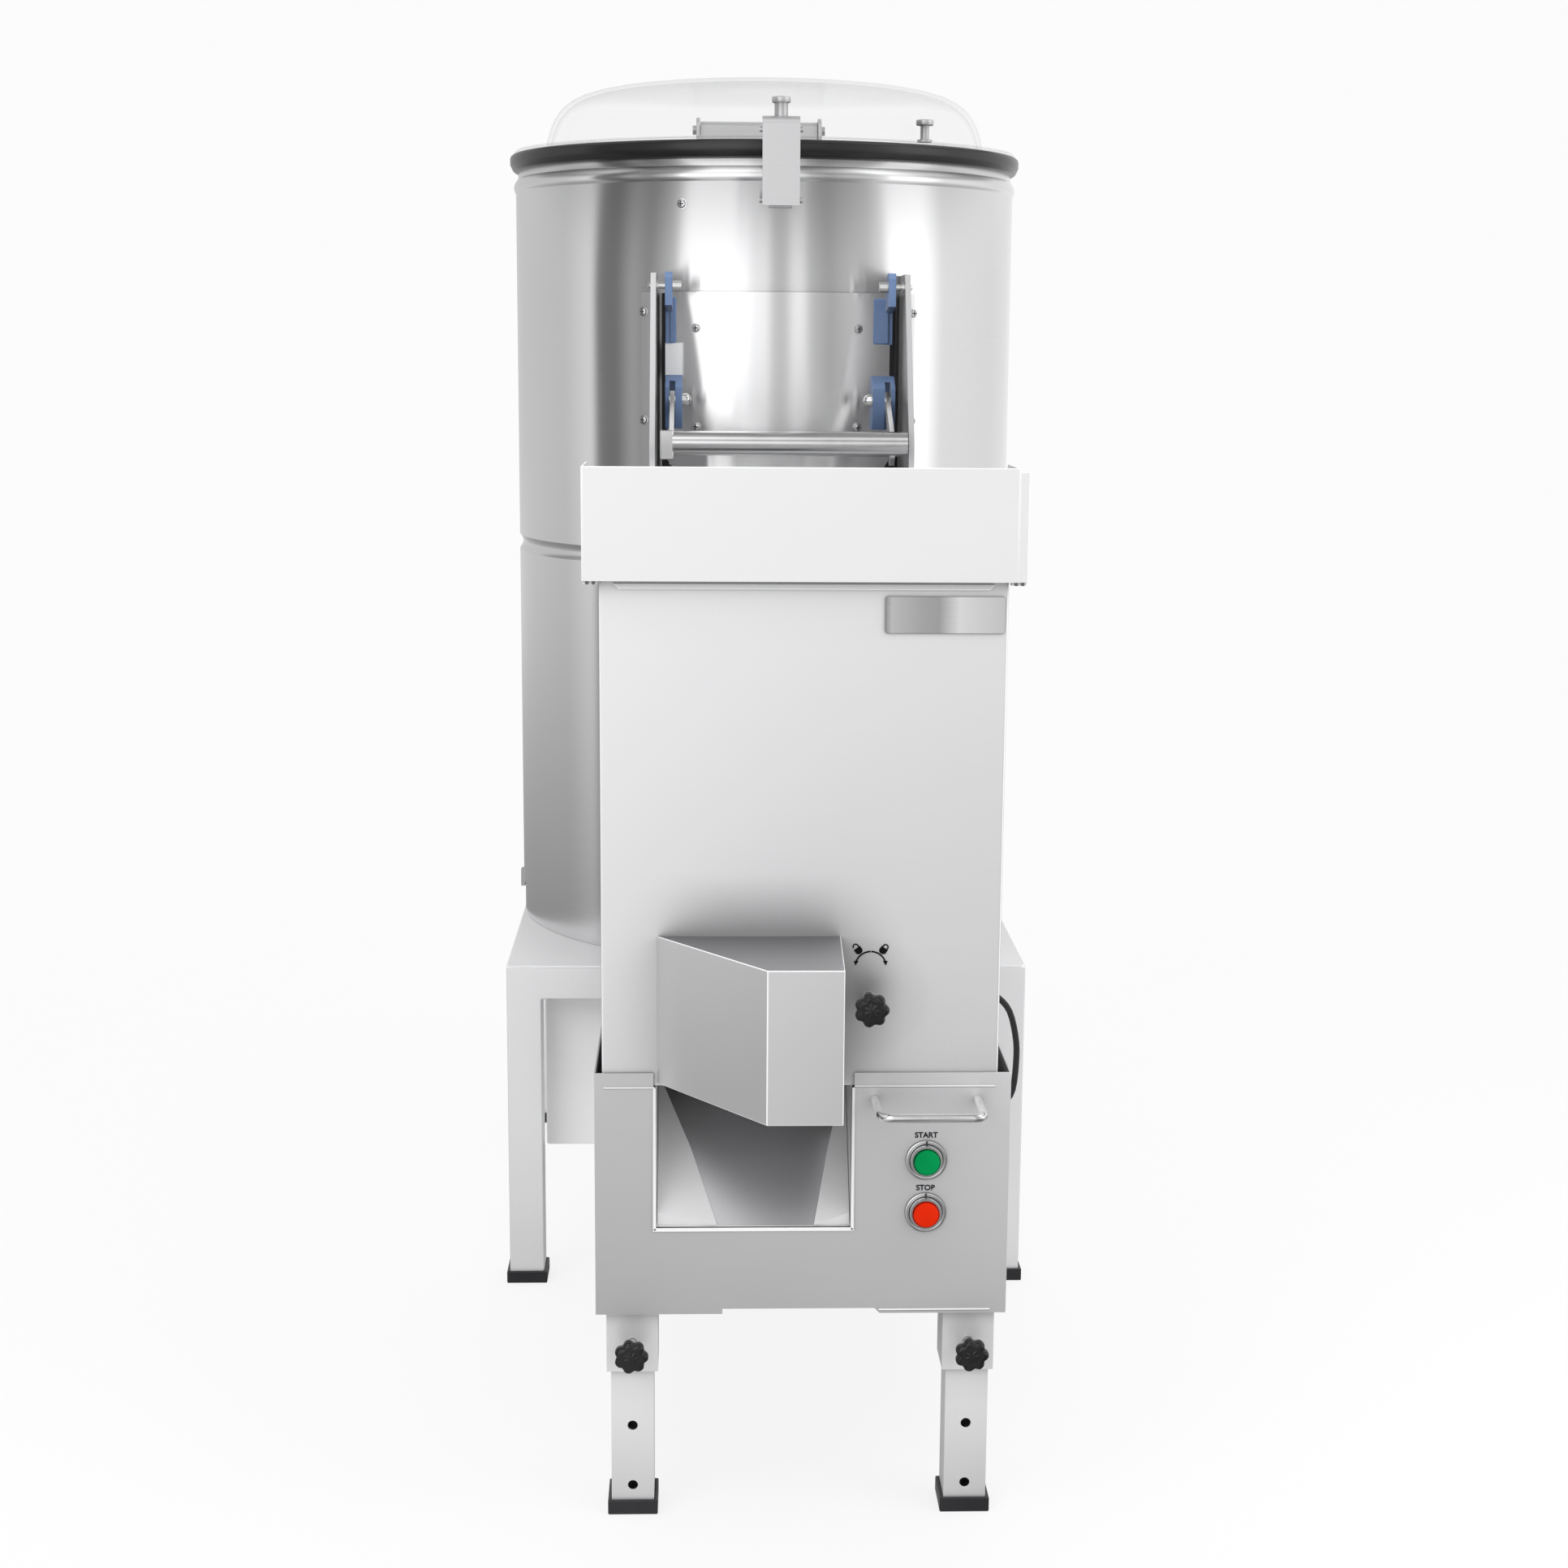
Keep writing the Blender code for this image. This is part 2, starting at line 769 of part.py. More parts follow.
def make_liner():
    """The grit-coated liner that lines the lower wall, from the pan up to the shell's groove."""
    outer = shell_inner_radius - seat_gap
    inner = outer - liner_thickness
    low = stand_height + base_wall_rise + liner_start_rise
    high = groove_z - bead_half - liner_start_rise
    outline = [(inner, low), (outer, low), (outer, high), (inner, high)]
    return turned("abrasive_liner", outline, (0, drum_y, 0))


def make_disc():
    """The peeling disc: a plate whose top rises in three rounded waves that throw the load about."""
    radius = shell_inner_radius - liner_thickness - disc_edge_gap
    steps = disc_steps
    top_z = disc_under_z + disc_thickness
    points = [(0, 0, top_z)]
    for share in disc_ring_shares:
        swell = max(0.0, math.sin(math.pi * share)) ** wave_swell_power
        for step in range(steps):
            angle = 2 * math.pi * step / steps
            wave = max(0.0, math.cos(disc_wave_count * angle)) ** wave_crest_power
            height = top_z + disc_wave_height * swell * wave
            points.append((radius * share * math.cos(angle), radius * share * math.sin(angle), height))
    under = len(points)
    lower_rings = ((radius, disc_under_z), (disc_hub_radius, disc_under_z), (disc_hub_radius, disc_seat_z))
    for ring_radius, height in lower_rings:
        for step in range(steps):
            angle = 2 * math.pi * step / steps
            points.append((ring_radius * math.cos(angle), ring_radius * math.sin(angle), height))
    points.append((0, 0, disc_seat_z))
    faces = []
    for step in range(steps):
        after = (step + 1) % steps
        faces.append((0, 1 + step, 1 + after))
        for ring in range(len(disc_ring_shares) + 2):
            low = 1 + ring * steps
            faces.append((low + step, low + steps + step, low + steps + after, low + after))
        faces.append((len(points) - 1, under + 2 * steps + after, under + 2 * steps + step))
    points = [(x, y + drum_y, z) for x, y, z in points]
    disc = face_outward(add_mesh("abrasive_disc", points, faces))
    return hang(disc, (0, drum_y, disc_under_z))


inlet_flange_radius = 0.0165
inlet_flange = 0.004
inlet_nut = 0.010
inlet_nut_radius = 0.0131
inlet_tail = 0.024
inlet_bore = 0.0075
inlet_inside = 0.008


def make_water_inlet():
    """A threaded water connection through the back of the shell."""
    outline = [
        (inlet_bore, -inlet_inside),
        (inlet_radius, -inlet_inside),
        (inlet_radius, seat_gap),
        (inlet_flange_radius, seat_gap),
        (inlet_flange_radius, inlet_flange),
        (inlet_nut_radius, inlet_flange),
        (inlet_nut_radius, inlet_flange + inlet_nut),
        (inlet_radius, inlet_flange + inlet_nut),
        (inlet_radius, inlet_flange + inlet_tail),
        (inlet_bore, inlet_flange + inlet_tail),
    ]
    return turned("water_inlet", outline, (0, drum_y + drum_radius, inlet_z), "Y", small_steps)


# Lid: rubber rim seal, clear dome, rear hinge, front latch

seal_out = 0.0066
seal_bottom_out = 0.0025
seal_over = 0.0060
seal_hang = 0.0150
seal_inner_in = 0.0115
lid_sheet = 0.004
lid_flange_in = 0.0055
dome_in = 0.035
dome_shares = (
    (1.0, 0.0),
    (0.985, 0.19),
    (0.952, 0.46),
    (0.915, 0.63),
    (0.865, 0.745),
    (0.79, 0.825),
    (0.68, 0.88),
    (0.50, 0.925),
    (0.27, 0.96),
)

dome_radius = drum_radius - dome_in
seal_top_z = shell_top_z + seal_over
seal_radius = drum_radius + seal_out
lid_flange_z = seal_top_z + seat_gap
lid_flange_radius = seal_radius - lid_flange_in
lid_top_z = lid_flange_z + lid_sheet + lid_rise


def make_lid_seal():
    """The black edge profile pressed over the shell's rim, with a slot for the rim."""
    slot_outer = neck_radius + seat_gap
    slot_inner = neck_radius - shell_sheet - seat_gap
    low = shell_top_z - seal_hang
    inner = neck_radius - seal_inner_in
    outline = [
        (slot_outer, low),
        (drum_radius + seal_bottom_out, low),
        (seal_radius, low + seal_over),
        (seal_radius, seal_top_z - seal_bottom_out),
        (seal_radius - seal_bottom_out, seal_top_z),
        (inner, seal_top_z),
        (inner, low),
        (slot_inner, low),
        (slot_inner, shell_top_z + seat_gap),
        (slot_outer, shell_top_z + seat_gap),
    ]
    return turned("lid_seal", outline, (0, drum_y, 0))


def make_lid_dome():
    """The formed clear lid: a flat flange, a rounded shoulder and a nearly flat crown."""
    top = lid_flange_z + lid_sheet
    outline = [(0, lid_top_z)]
    for radius_share, rise_share in dome_shares[::-1]:
        outline.append((dome_radius * radius_share, top + lid_rise * rise_share))
    outline.append((lid_flange_radius, top))
    outline.append((lid_flange_radius, lid_flange_z))
    inner_radius = dome_radius - lid_sheet
    for radius_share, rise_share in dome_shares:
        outline.append((inner_radius * radius_share, lid_flange_z + lid_rise * rise_share))
    outline.append((0, lid_flange_z + lid_rise))
    dome = turned("lid_dome", outline, (0, drum_y, 0))
    return hang(dome, (0, lid_pivot_y, lid_pivot_z))


lid_pivot_rise = 0.061
ear_thickness = 0.005
ear_spread = 0.168
ear_base_drop = 0.192
ear_base_height = 0.095
ear_clearance = 0.0035
hinge_rod_radius = 0.006
barrel_radius = 0.0115
arm_sheet = 0.004
arm_foot_length = 0.020
ear_steps = 8
bracket_steps = 10

lid_pivot_y = drum_y + lid_pivot_reach
lid_pivot_z = lid_flange_z + lid_pivot_rise
ear_inner_half = ear_spread / 2 - ear_thickness


def make_lid_bracket():
    """Two upright ears on a curved base plate behind the drum, with the hinge rod across them."""
    low = lid_pivot_z - ear_base_drop - lid_pivot_rise / 2
    base_top = low + ear_base_height
    half = ear_spread / 2
    clear_y = drum_y + math.sqrt(seal_radius ** 2 - ear_inner_half ** 2) + ear_clearance
    seat_y = drum_y + math.sqrt((drum_radius + seat_gap) ** 2 - half ** 2) - ear_thickness
    ear = [(seat_y, low), (lid_pivot_y - lid_ear_radius, low + ear_thickness)]
    ear.append((lid_pivot_y + lid_ear_radius, lid_pivot_z - lid_pivot_rise))
    for step in range(ear_steps + 1):
        angle = math.pi * step / ear_steps
        ear.append((
            lid_pivot_y + lid_ear_radius * math.cos(angle),
            lid_pivot_z + lid_ear_radius * math.sin(angle),
        ))
    ear.append((clear_y, lid_pivot_z - lid_pivot_rise / 2))
    ear.append((clear_y, base_top))
    ear.append((seat_y, base_top))
    left = extruded("ear_left", ear, "X", -half, -ear_inner_half)
    right = extruded("ear_right", ear, "X", ear_inner_half, half)
    seat_radius = drum_radius + seat_gap
    reach = half + ear_thickness
    arc_out = drum_arc(seat_radius + ear_thickness, -reach, reach, bracket_steps)
    arc_in = drum_arc(seat_radius, -reach, reach, bracket_steps)
    strip = [(x, 2 * drum_y - y) for x, y in arc_out + arc_in[::-1]]
    base = extruded("lid_hinge_bracket", strip, "Z", low, base_top)
    hinge_rod = rod(
        "hinge_rod", (0, lid_pivot_y, lid_pivot_z), "X", hinge_rod_radius, -reach, reach, pin_steps
    )
    hollow = cylinder_cutter("drum_clearance", seat_radius, low - overrun, base_top + overrun)
    bracket = join(base, left, right, hinge_rod)
    return cut(bracket, hollow)


def make_lid_arm():
    """The lid's hinge leaf: a barrel on the rod and a bent strap bolted to the flange."""
    half = ear_inner_half - 2 * seat_gap
    top = lid_flange_z + lid_sheet + seat_gap
    foot_back = drum_y + math.sqrt(lid_flange_radius ** 2 - half ** 2)
    foot_front = foot_back - arm_foot_length
    strap = [
        (foot_front, top),
        (foot_back, top),
        (lid_pivot_y - barrel_radius + arm_sheet, lid_pivot_z - barrel_radius),
        (lid_pivot_y - barrel_radius + arm_sheet, lid_pivot_z),
        (lid_pivot_y - barrel_radius, lid_pivot_z),
        (foot_back - arm_sheet / 2, top + arm_sheet),
        (foot_front, top + arm_sheet),
    ]
    arm = extruded("lid_hinge_arm", strap, "X", -half, half)
    barrel = rod("arm_barrel", (0, lid_pivot_y, lid_pivot_z), "X", barrel_radius, -half, half)
    bore = rod(
        "arm_bore", (0, lid_pivot_y, lid_pivot_z), "X", hinge_rod_radius + seat_gap,
        -half - overrun, half + overrun,
    )
    return hang(cut(join(arm, barrel), bore), (0, lid_pivot_y, lid_pivot_z))


latch_centre_x = 0.0105
strap_width = 0.041
strap_sheet = 0.0025
strap_length = 0.081
strap_top_depth = 0.017
strap_curl = 0.009
curl_steps = 5
strap_cheek_depth = 0.0145
strap_cheek_top = 0.030
strap_cheek_low = 0.012
strap_foot_depth = 0.009
strap_foot_pin_in = 0.0058
latch_pin_radius = 0.003
latch_pin_rise = 0.0045
latch_pin_out = 0.0105
lug_width = 0.030
lug_skin = 0.00125
lug_steps = 6
catch_width = 0.026
catch_height = 0.016
button_shank_radius = 0.00375
button_stem_radius = 0.0075
button_head_radius = 0.0102
button_stem_height = 0.0135
button_head_height = 0.0070
button_edge = 0.001
button_set_back = 0.0045
button_travel = 0.0030

latch_pin_z = lid_flange_z + lid_sheet + latch_pin_rise
latch_pin_y = drum_y - seal_radius - latch_pin_out
strap_front_y = latch_pin_y - strap_cheek_depth / 2
strap_top_z = latch_pin_z + strap_curl + latch_pin_radius + strap_sheet
strap_bottom_z = latch_pin_z - strap_length


def make_latch_lug():
    """The lug bolted on the lid's flange, its nose rounded about the latch's pivot pin."""
    half = lug_width / 2
    flange_top = lid_flange_z + lid_sheet + seat_gap
    nose_radius = latch_pin_radius + lug_skin
    rim_y = drum_y - lid_flange_radius
    back = rim_y + arm_foot_length / 2
    profile = []
    for step in range(lug_steps + 1):
        angle = math.pi * step / lug_steps
        profile.append((
            latch_pin_y - nose_radius * math.sin(angle), latch_pin_z + nose_radius * math.cos(angle)
        ))
    profile += [
        (rim_y - seat_gap * 2, latch_pin_z - nose_radius),
        (rim_y - seat_gap * 2, flange_top),
        (back, flange_top),
        (back, flange_top + strap_sheet),
        (rim_y, flange_top + strap_sheet),
    ]
    lug = extruded("latch_lug", profile, "X", latch_centre_x - half, latch_centre_x + half)
    reach = strap_width / 2 + latch_pin_radius
    pin_centre = (latch_centre_x, latch_pin_y, latch_pin_z)
    pin = rod("latch_pin", pin_centre, "X", latch_pin_radius, -reach, reach, pin_steps)
    return hang(join(lug, pin), (0, lid_pivot_y, lid_pivot_z))


def make_latch_strap():
    """A channel of thick sheet: long front face, curled top, cheeks round its two pins."""
    left = latch_centre_x - strap_width / 2
    right = latch_centre_x + strap_width / 2
    inner_y = strap_front_y + strap_sheet
    curl_z = strap_top_z - strap_curl
    curl_y = strap_front_y + strap_curl
    back_y = strap_front_y + strap_top_depth
    profile = [(strap_front_y, strap_bottom_z)]
    for step in range(curl_steps + 1):
        angle = math.pi / 2 * step / curl_steps
        profile.append((curl_y - strap_curl * math.cos(angle), curl_z + strap_curl * math.sin(angle)))
    profile.append((back_y, strap_top_z))
    profile.append((back_y, strap_top_z - strap_sheet))
    inner_curl = strap_curl - strap_sheet
    for step in range(curl_steps + 1):
        angle = math.pi / 2 * (1 - step / curl_steps)
        profile.append((curl_y - inner_curl * math.cos(angle), curl_z + inner_curl * math.sin(angle)))
    profile.append((inner_y, strap_bottom_z))
    strap = extruded("latch_strap", profile, "X", left, right)
    cheek_back = latch_pin_y + latch_pin_radius + strap_sheet
    upper = [
        (strap_front_y + strap_sheet / 2, latch_pin_z - strap_cheek_top / 2),
        (cheek_back, latch_pin_z - latch_pin_radius - strap_sheet),
        (cheek_back, strap_top_z - strap_sheet / 2),
        (strap_front_y + strap_curl, strap_top_z - strap_sheet / 2),
        (strap_front_y + strap_sheet / 2, curl_z),
    ]
    lower = [
        (strap_front_y + strap_sheet / 2, strap_bottom_z + seat_gap),
        (strap_front_y + strap_foot_depth, strap_bottom_z + seat_gap),
        (strap_front_y + strap_foot_depth, strap_bottom_z + strap_cheek_low),
        (strap_front_y + strap_sheet / 2, strap_bottom_z + strap_cheek_low),
    ]
    for label, outline in (("upper", upper), ("lower", lower)):
        join(strap, extruded("cheek_l_" + label, outline, "X", left + seat_gap, left + strap_sheet))
        join(strap, extruded("cheek_r_" + label, outline, "X", right - strap_sheet, right - seat_gap))
    foot_centre = (latch_centre_x, strap_front_y + strap_foot_pin_in, strap_bottom_z + strap_cheek_low / 2)
    pin_reach = strap_width / 2 + latch_pin_radius
    join(strap, rod("strap_foot_pin", foot_centre, "X", latch_pin_radius, -pin_reach, pin_reach, pin_steps))
    reach = strap_width / 2 + overrun
    pin_hole = rod(
        "strap_pin_hole", (latch_centre_x, latch_pin_y, latch_pin_z), "X",
        latch_pin_radius + seat_gap, -reach, reach, pin_steps,
    )
    stem_hole = rod(
        "strap_stem_hole", (latch_centre_x, strap_front_y + strap_curl + button_set_back, strap_top_z), "Z",
        button_shank_radius + seat_gap, -strap_sheet - overrun / 2, overrun, pin_steps,
    )
    return hang(cut(strap, pin_hole, stem_hole), (latch_centre_x, latch_pin_y, latch_pin_z))


def make_latch_button():
    """The release button: a collar and head above the strap, its thin stem through the strap."""
    y = strap_front_y + strap_curl + button_set_back
    base = button_travel + seat_gap
    outline = [
        (0, -strap_sheet - seat_gap),
        (button_shank_radius, -strap_sheet - seat_gap),
        (button_shank_radius, base),
        (button_stem_radius, base),
        (button_stem_radius, button_stem_height),
        (button_head_radius, button_stem_height + seat_gap),
        (button_head_radius, button_stem_height + button_head_height - button_edge),
        (button_head_radius - button_edge, button_stem_height + button_head_height),
        (0, button_stem_height + button_head_height),
    ]
    button = turned("latch_button", outline, (latch_centre_x, y, strap_top_z), "Z", small_steps)
    return hang(button, (latch_centre_x, y, strap_top_z))


def make_latch_catch():
    """The keeper behind the strap's lower pin, to be welded to the shell."""
    half = catch_width / 2
    z_middle = strap_bottom_z + strap_cheek_low / 2
    front = strap_front_y + strap_foot_pin_in + latch_pin_radius + seat_gap
    return box(
        "latch_catch",
        (latch_centre_x - half, front, z_middle - catch_height / 2),
        (latch_centre_x + half, drum_y - drum_radius + shell_sheet / 2, z_middle + catch_height / 2),
    )


stud_in = 0.0204
stud_bearing = math.radians(38.7)
stud_foot_radius = 0.0085
stud_foot_height = 0.0025
stud_stem_radius = 0.0048
stud_height = 0.0245
stud_head_radius = 0.0098
stud_head_height = 0.0065

stud_radius = drum_radius - stud_in
stud_x = stud_radius * math.sin(stud_bearing)
stud_back = stud_radius * math.cos(stud_bearing)


def make_lid_stud():
    """The T-headed stud that stands on the lid's flange."""
    outline = [
        (0, 0),
        (stud_foot_radius, 0),
        (stud_foot_radius, stud_foot_height),
        (stud_stem_radius, stud_foot_height),
        (stud_stem_radius, stud_height - stud_head_height),
        (stud_head_radius, stud_height - stud_head_height),
        (stud_head_radius, stud_height),
        (0, stud_height),
    ]
    base = (stud_x, drum_y - stud_back, lid_flange_z + lid_sheet + seat_gap)
    return hang(turned("lid_stud", outline, base, "Z", small_steps), (0, lid_pivot_y, lid_pivot_z))


# Discharge door: spout with two cheeks, curved door, blue pivot blocks, bail handle

seal_frame_lap = 0.0065
seal_frame_margin = 0.018
seal_frame_head = 0.0120
door_standoff = 0.006
door_sheet = 0.0015
door_lap = 0.0205
door_foot_lap = 0.016
door_head_lap = 0.0135
cheek_clearance = 0.0115
cheek_sheet = 0.002
cheek_hem = 0.006
hem_width = 0.003
spout_tuck = 0.012
cheek_head_rise = 0.033
cheek_top_reach = 0.033
cheek_low_reach = 0.119
cheek_bend_rise = 0.018
spout_drop = 0.037
spout_fall = 0.012
flange_width = 0.018
flange_head_rise = 0.013
flange_steps = 3
door_pivot_rise = 0.019
door_pivot_reach = 0.021
pin_radius = 0.0032
bush_radius = 0.0055
bush_in = 0.016
nut_radius = 0.0058
nut_length = 0.0075
nut_hex_share = 0.5
nut_shoulder_share = 0.8
nut_dome_share = 0.72

door_half = opening_half + door_lap
door_bottom_z = opening_bottom_z - door_foot_lap
door_top_z = opening_top_z + door_head_lap
seal_frame_half = door_half + seal_frame_lap
cheek_inner_offset = door_half + cheek_clearance
cheek_top_z = opening_top_z + cheek_head_rise
cheek_bend_z = opening_bottom_z + cheek_bend_rise
spout_low_z = opening_bottom_z - spout_drop
flange_top_z = opening_top_z + flange_head_rise
door_pivot_z = opening_top_z + door_pivot_rise
bush_inner_offset = door_half - bush_in
door_inner_radius = drum_radius + door_standoff
door_outer_radius = door_inner_radius + door_sheet
drum_front_y = drum_y - drum_radius
door_pivot_y = drum_front_y - door_pivot_reach


def door_x(side, offset):
    """A place across the door, side -1 for left and +1 for right."""
    return door_centre_x + side * offset


def make_spout_cheek(side, label, floor_front):
    """One deep cheek: folded sheet with a hemmed front edge and a flange rolled to the drum."""
    inner = door_x(side, cheek_inner_offset)
    outer = door_x(side, cheek_inner_offset + cheek_sheet)
    back_y = drum_surface_y(drum_radius, outer) + shell_sheet
    top_front = drum_front_y - cheek_top_reach
    profile = [
        (back_y, spout_low_z),
        (floor_front, spout_low_z),
        (floor_front, cheek_bend_z),
        (top_front, cheek_top_z),
        (back_y, cheek_top_z),
    ]
    cheek = extruded("cheek_" + label, profile, "X", min(inner, outer), max(inner, outer))
    hem_profile = [
        (floor_front - seat_gap, spout_low_z + seat_gap),
        (floor_front + hem_width, spout_low_z + seat_gap),
        (floor_front + hem_width, cheek_bend_z),
        (top_front + hem_width, cheek_top_z - seat_gap),
        (top_front - seat_gap, cheek_top_z - seat_gap),
        (floor_front - seat_gap, cheek_bend_z),
    ]
    start = door_x(side, cheek_inner_offset + seat_gap)
    hem_end = door_x(side, cheek_inner_offset + cheek_hem)
    hem = extruded("hem_" + label, hem_profile, "X", min(start, hem_end), max(start, hem_end))
    flange_end = door_x(side, cheek_inner_offset + flange_width)
    flange = drum_panel(
        "flange_" + label, drum_radius - shell_sheet, drum_radius + seat_gap + cheek_sheet,
        min(start, flange_end), max(start, flange_end), spout_low_z + seat_gap, flange_top_z, flange_steps,
    )
    hole = rod(
        "pin_hole_" + label, (inner, door_pivot_y, door_pivot_z), "X",
        pin_radius + seat_gap, -overrun, overrun, pin_steps,
    )
    return cut(join(cheek, hem, flange), hole)


def make_discharge_spout():
    """Two cheeks with the sloping floor between them, trimmed to the drum's curve."""
    floor_front = drum_front_y - cheek_low_reach
    floor_back = drum_front_y + spout_tuck
    floor_profile = [
        (floor_back, spout_low_z + spout_fall - cheek_sheet),
        (floor_back, spout_low_z + spout_fall),
        (floor_front, spout_low_z + cheek_sheet + seat_gap),
        (floor_front, spout_low_z + seat_gap),
    ]
    weld_offset = cheek_inner_offset + cheek_sheet / 2
    floor = extruded("spout_floor", floor_profile, "X", door_x(-1, weld_offset), door_x(1, weld_offset))
    spout = make_spout_cheek(-1, "left", floor_front)
    spout.name = "discharge_spout"
    join(spout, floor, make_spout_cheek(1, "right", floor_front))
    trim = cylinder_cutter("spout_trim", drum_radius + seat_gap, spout_low_z - overrun, cheek_top_z + overrun)
    return cut(spout, trim)


def make_door_seal():
    """A black rubber frame round the opening, between the shell and the door."""
    frame = drum_panel(
        "door_seal", drum_radius + 2 * seat_gap, door_inner_radius - seat_gap,
        door_x(-1, seal_frame_half), door_x(1, seal_frame_half),
        opening_bottom_z - seal_frame_margin, opening_top_z + seal_frame_head, panel_steps,
    )
    window = box(
        "seal_window",
        (door_x(-1, opening_half), drum_y - door_inner_radius - overrun, opening_bottom_z),
        (door_x(1, opening_half), drum_y - drum_radius / 2, opening_top_z),
    )
    return cut(frame, window)


def make_door_plate():
    """The curved door, on the blocks that carry it."""
    plate = drum_panel(
        "door_plate", door_inner_radius, door_outer_radius,
        door_x(-1, door_half), door_x(1, door_half), door_bottom_z, door_top_z, panel_steps,
    )
    return hang(plate, (door_centre_x, door_pivot_y, door_pivot_z))


hinge_ear_in = 0.006
hinge_ear_width = 0.0080
hinge_ear_top = 0.0150
hinge_ear_low = 0.0210
hinge_ear_corner = 0.0060
hinge_foot_low = 0.0620
hinge_foot_top = 0.01125
hinge_foot_depth = 0.0075
hinge_foot_lap = 0.0105
hinge_foot_left = 0.00405
hinge_foot_right = 0.0135
hinge_ear_front = 0.0125
hinge_ear_offset = door_half - hinge_ear_in


def make_hinge_block(side, label, foot_width):
    """A moulded ear round the hinge bush, with a long foot that lies on the door's edge."""
    ear_inner = door_x(side, hinge_ear_offset)
    ear_outer = door_x(side, hinge_ear_offset + hinge_ear_width)
    surface = drum_surface_y(door_outer_radius, ear_outer)
    name = "hinge_block_" + label
    front = door_pivot_y - hinge_ear_front
    back = surface + door_sheet
    profile = [
        (back, door_pivot_z - hinge_foot_low),
        (surface - hinge_foot_lap, door_pivot_z - hinge_foot_low),
        (surface - hinge_foot_lap, door_pivot_z - hinge_ear_low - hinge_ear_corner),
        (front, door_pivot_z - hinge_ear_low),
        (front, door_pivot_z + hinge_ear_top - hinge_ear_corner),
        (front + hinge_ear_corner, door_pivot_z + hinge_ear_top),
        (door_pivot_y + hinge_ear_front, door_pivot_z + hinge_ear_top),
        (back, door_pivot_z - hinge_ear_low / 2),
    ]
    ear = extruded(name, profile, "X", min(ear_inner, ear_outer), max(ear_inner, ear_outer))
    foot_far = door_x(side, hinge_ear_offset - foot_width)
    foot_near = door_x(side, hinge_ear_offset + hinge_ear_width / 2)
    foot_surface = drum_surface_y(door_outer_radius, door_x(side, hinge_ear_offset - foot_width / 2))
    foot = box(
        "hinge_foot_" + label,
        (min(foot_far, foot_near), foot_surface - hinge_foot_depth, door_pivot_z - hinge_foot_low + seat_gap),
        (max(foot_far, foot_near), back + door_standoff, door_pivot_z - hinge_foot_top),
    )
    soften(foot, door_sheet, 1)
    hole = rod(
        "hinge_hole_" + label, (ear_inner, door_pivot_y, door_pivot_z), "X", bush_radius + seat_gap,
        -hinge_foot_right - overrun, hinge_foot_right + overrun, pin_steps,
    )
    seat = cylinder_cutter(
        "hinge_seat_" + label, door_outer_radius + seat_gap,
        door_pivot_z - hinge_foot_low - overrun, door_pivot_z + hinge_ear_top + overrun,
    )
    block = cut(join(ear, foot), hole, seat)
    return hang(block, (door_centre_x, door_pivot_y, door_pivot_z))


def make_hinge_pin(side, label):
    """A bush on a pin that is held in the cheek by a cap nut outside."""
    inner = door_x(side, bush_inner_offset)
    cheek = cheek_inner_offset - bush_inner_offset
    through = cheek + cheek_sheet + seat_gap
    outline = [
        (0, 0),
        (bush_radius, 0),
        (bush_radius, cheek - seat_gap),
        (pin_radius, cheek - seat_gap),
        (pin_radius, through),
        (nut_radius, through),
        (nut_radius, through + nut_length * nut_hex_share),
        (nut_radius * nut_dome_share, through + nut_length * nut_shoulder_share),
        (0, through + nut_length),
    ]
    outline = [(radius, side * height) for radius, height in outline]
    return turned("hinge_pin_" + label, outline, (inner, door_pivot_y, door_pivot_z), "X", pin_steps)


handle_pivot_rise = 0.0625
handle_pivot_reach = 0.033
handle_arm_in = 0.006
handle_arm_sheet = 0.005
arm_slot_gap = 0.0008
block_top_rise = 0.026
block_low_drop = 0.032
block_front = 0.011
block_corner = 0.0132
block_slot_roof = 0.006
outer_ear = 0.0045
inner_ear_left = 0.0075
inner_ear_right = 0.0135
pivot_radius = 0.0042
pivot_nut_radius = 0.0068
pivot_nut_length = 0.010
bar_radius = 0.0132
bar_drop = 0.0445
bar_reach = 0.081
bar_end_gap = 0.0015
arm_boss_radius = 0.0103
arm_boss_steps = 6
arm_half_depth = 0.014
arm_hook_shares = ((1.7, -0.55), (1.0, -1.7), (0.2, -1.6), (-0.48, -0.85), (-0.66, 0.0), (0.10, 0.745))
tab_width = 0.0145
tab_sheet = 0.0035
tab_out = 0.0099
tab_drop = 0.0172
tab_rise = 0.0139
tab_edge = 0.001

handle_pivot_z = opening_bottom_z + handle_pivot_rise
handle_pivot_y = drum_front_y - handle_pivot_reach
handle_arm_offset = door_half - handle_arm_in
bar_end_offset = cheek_inner_offset - bar_end_gap
bar_y = handle_pivot_y - bar_reach
bar_z = handle_pivot_z - bar_drop


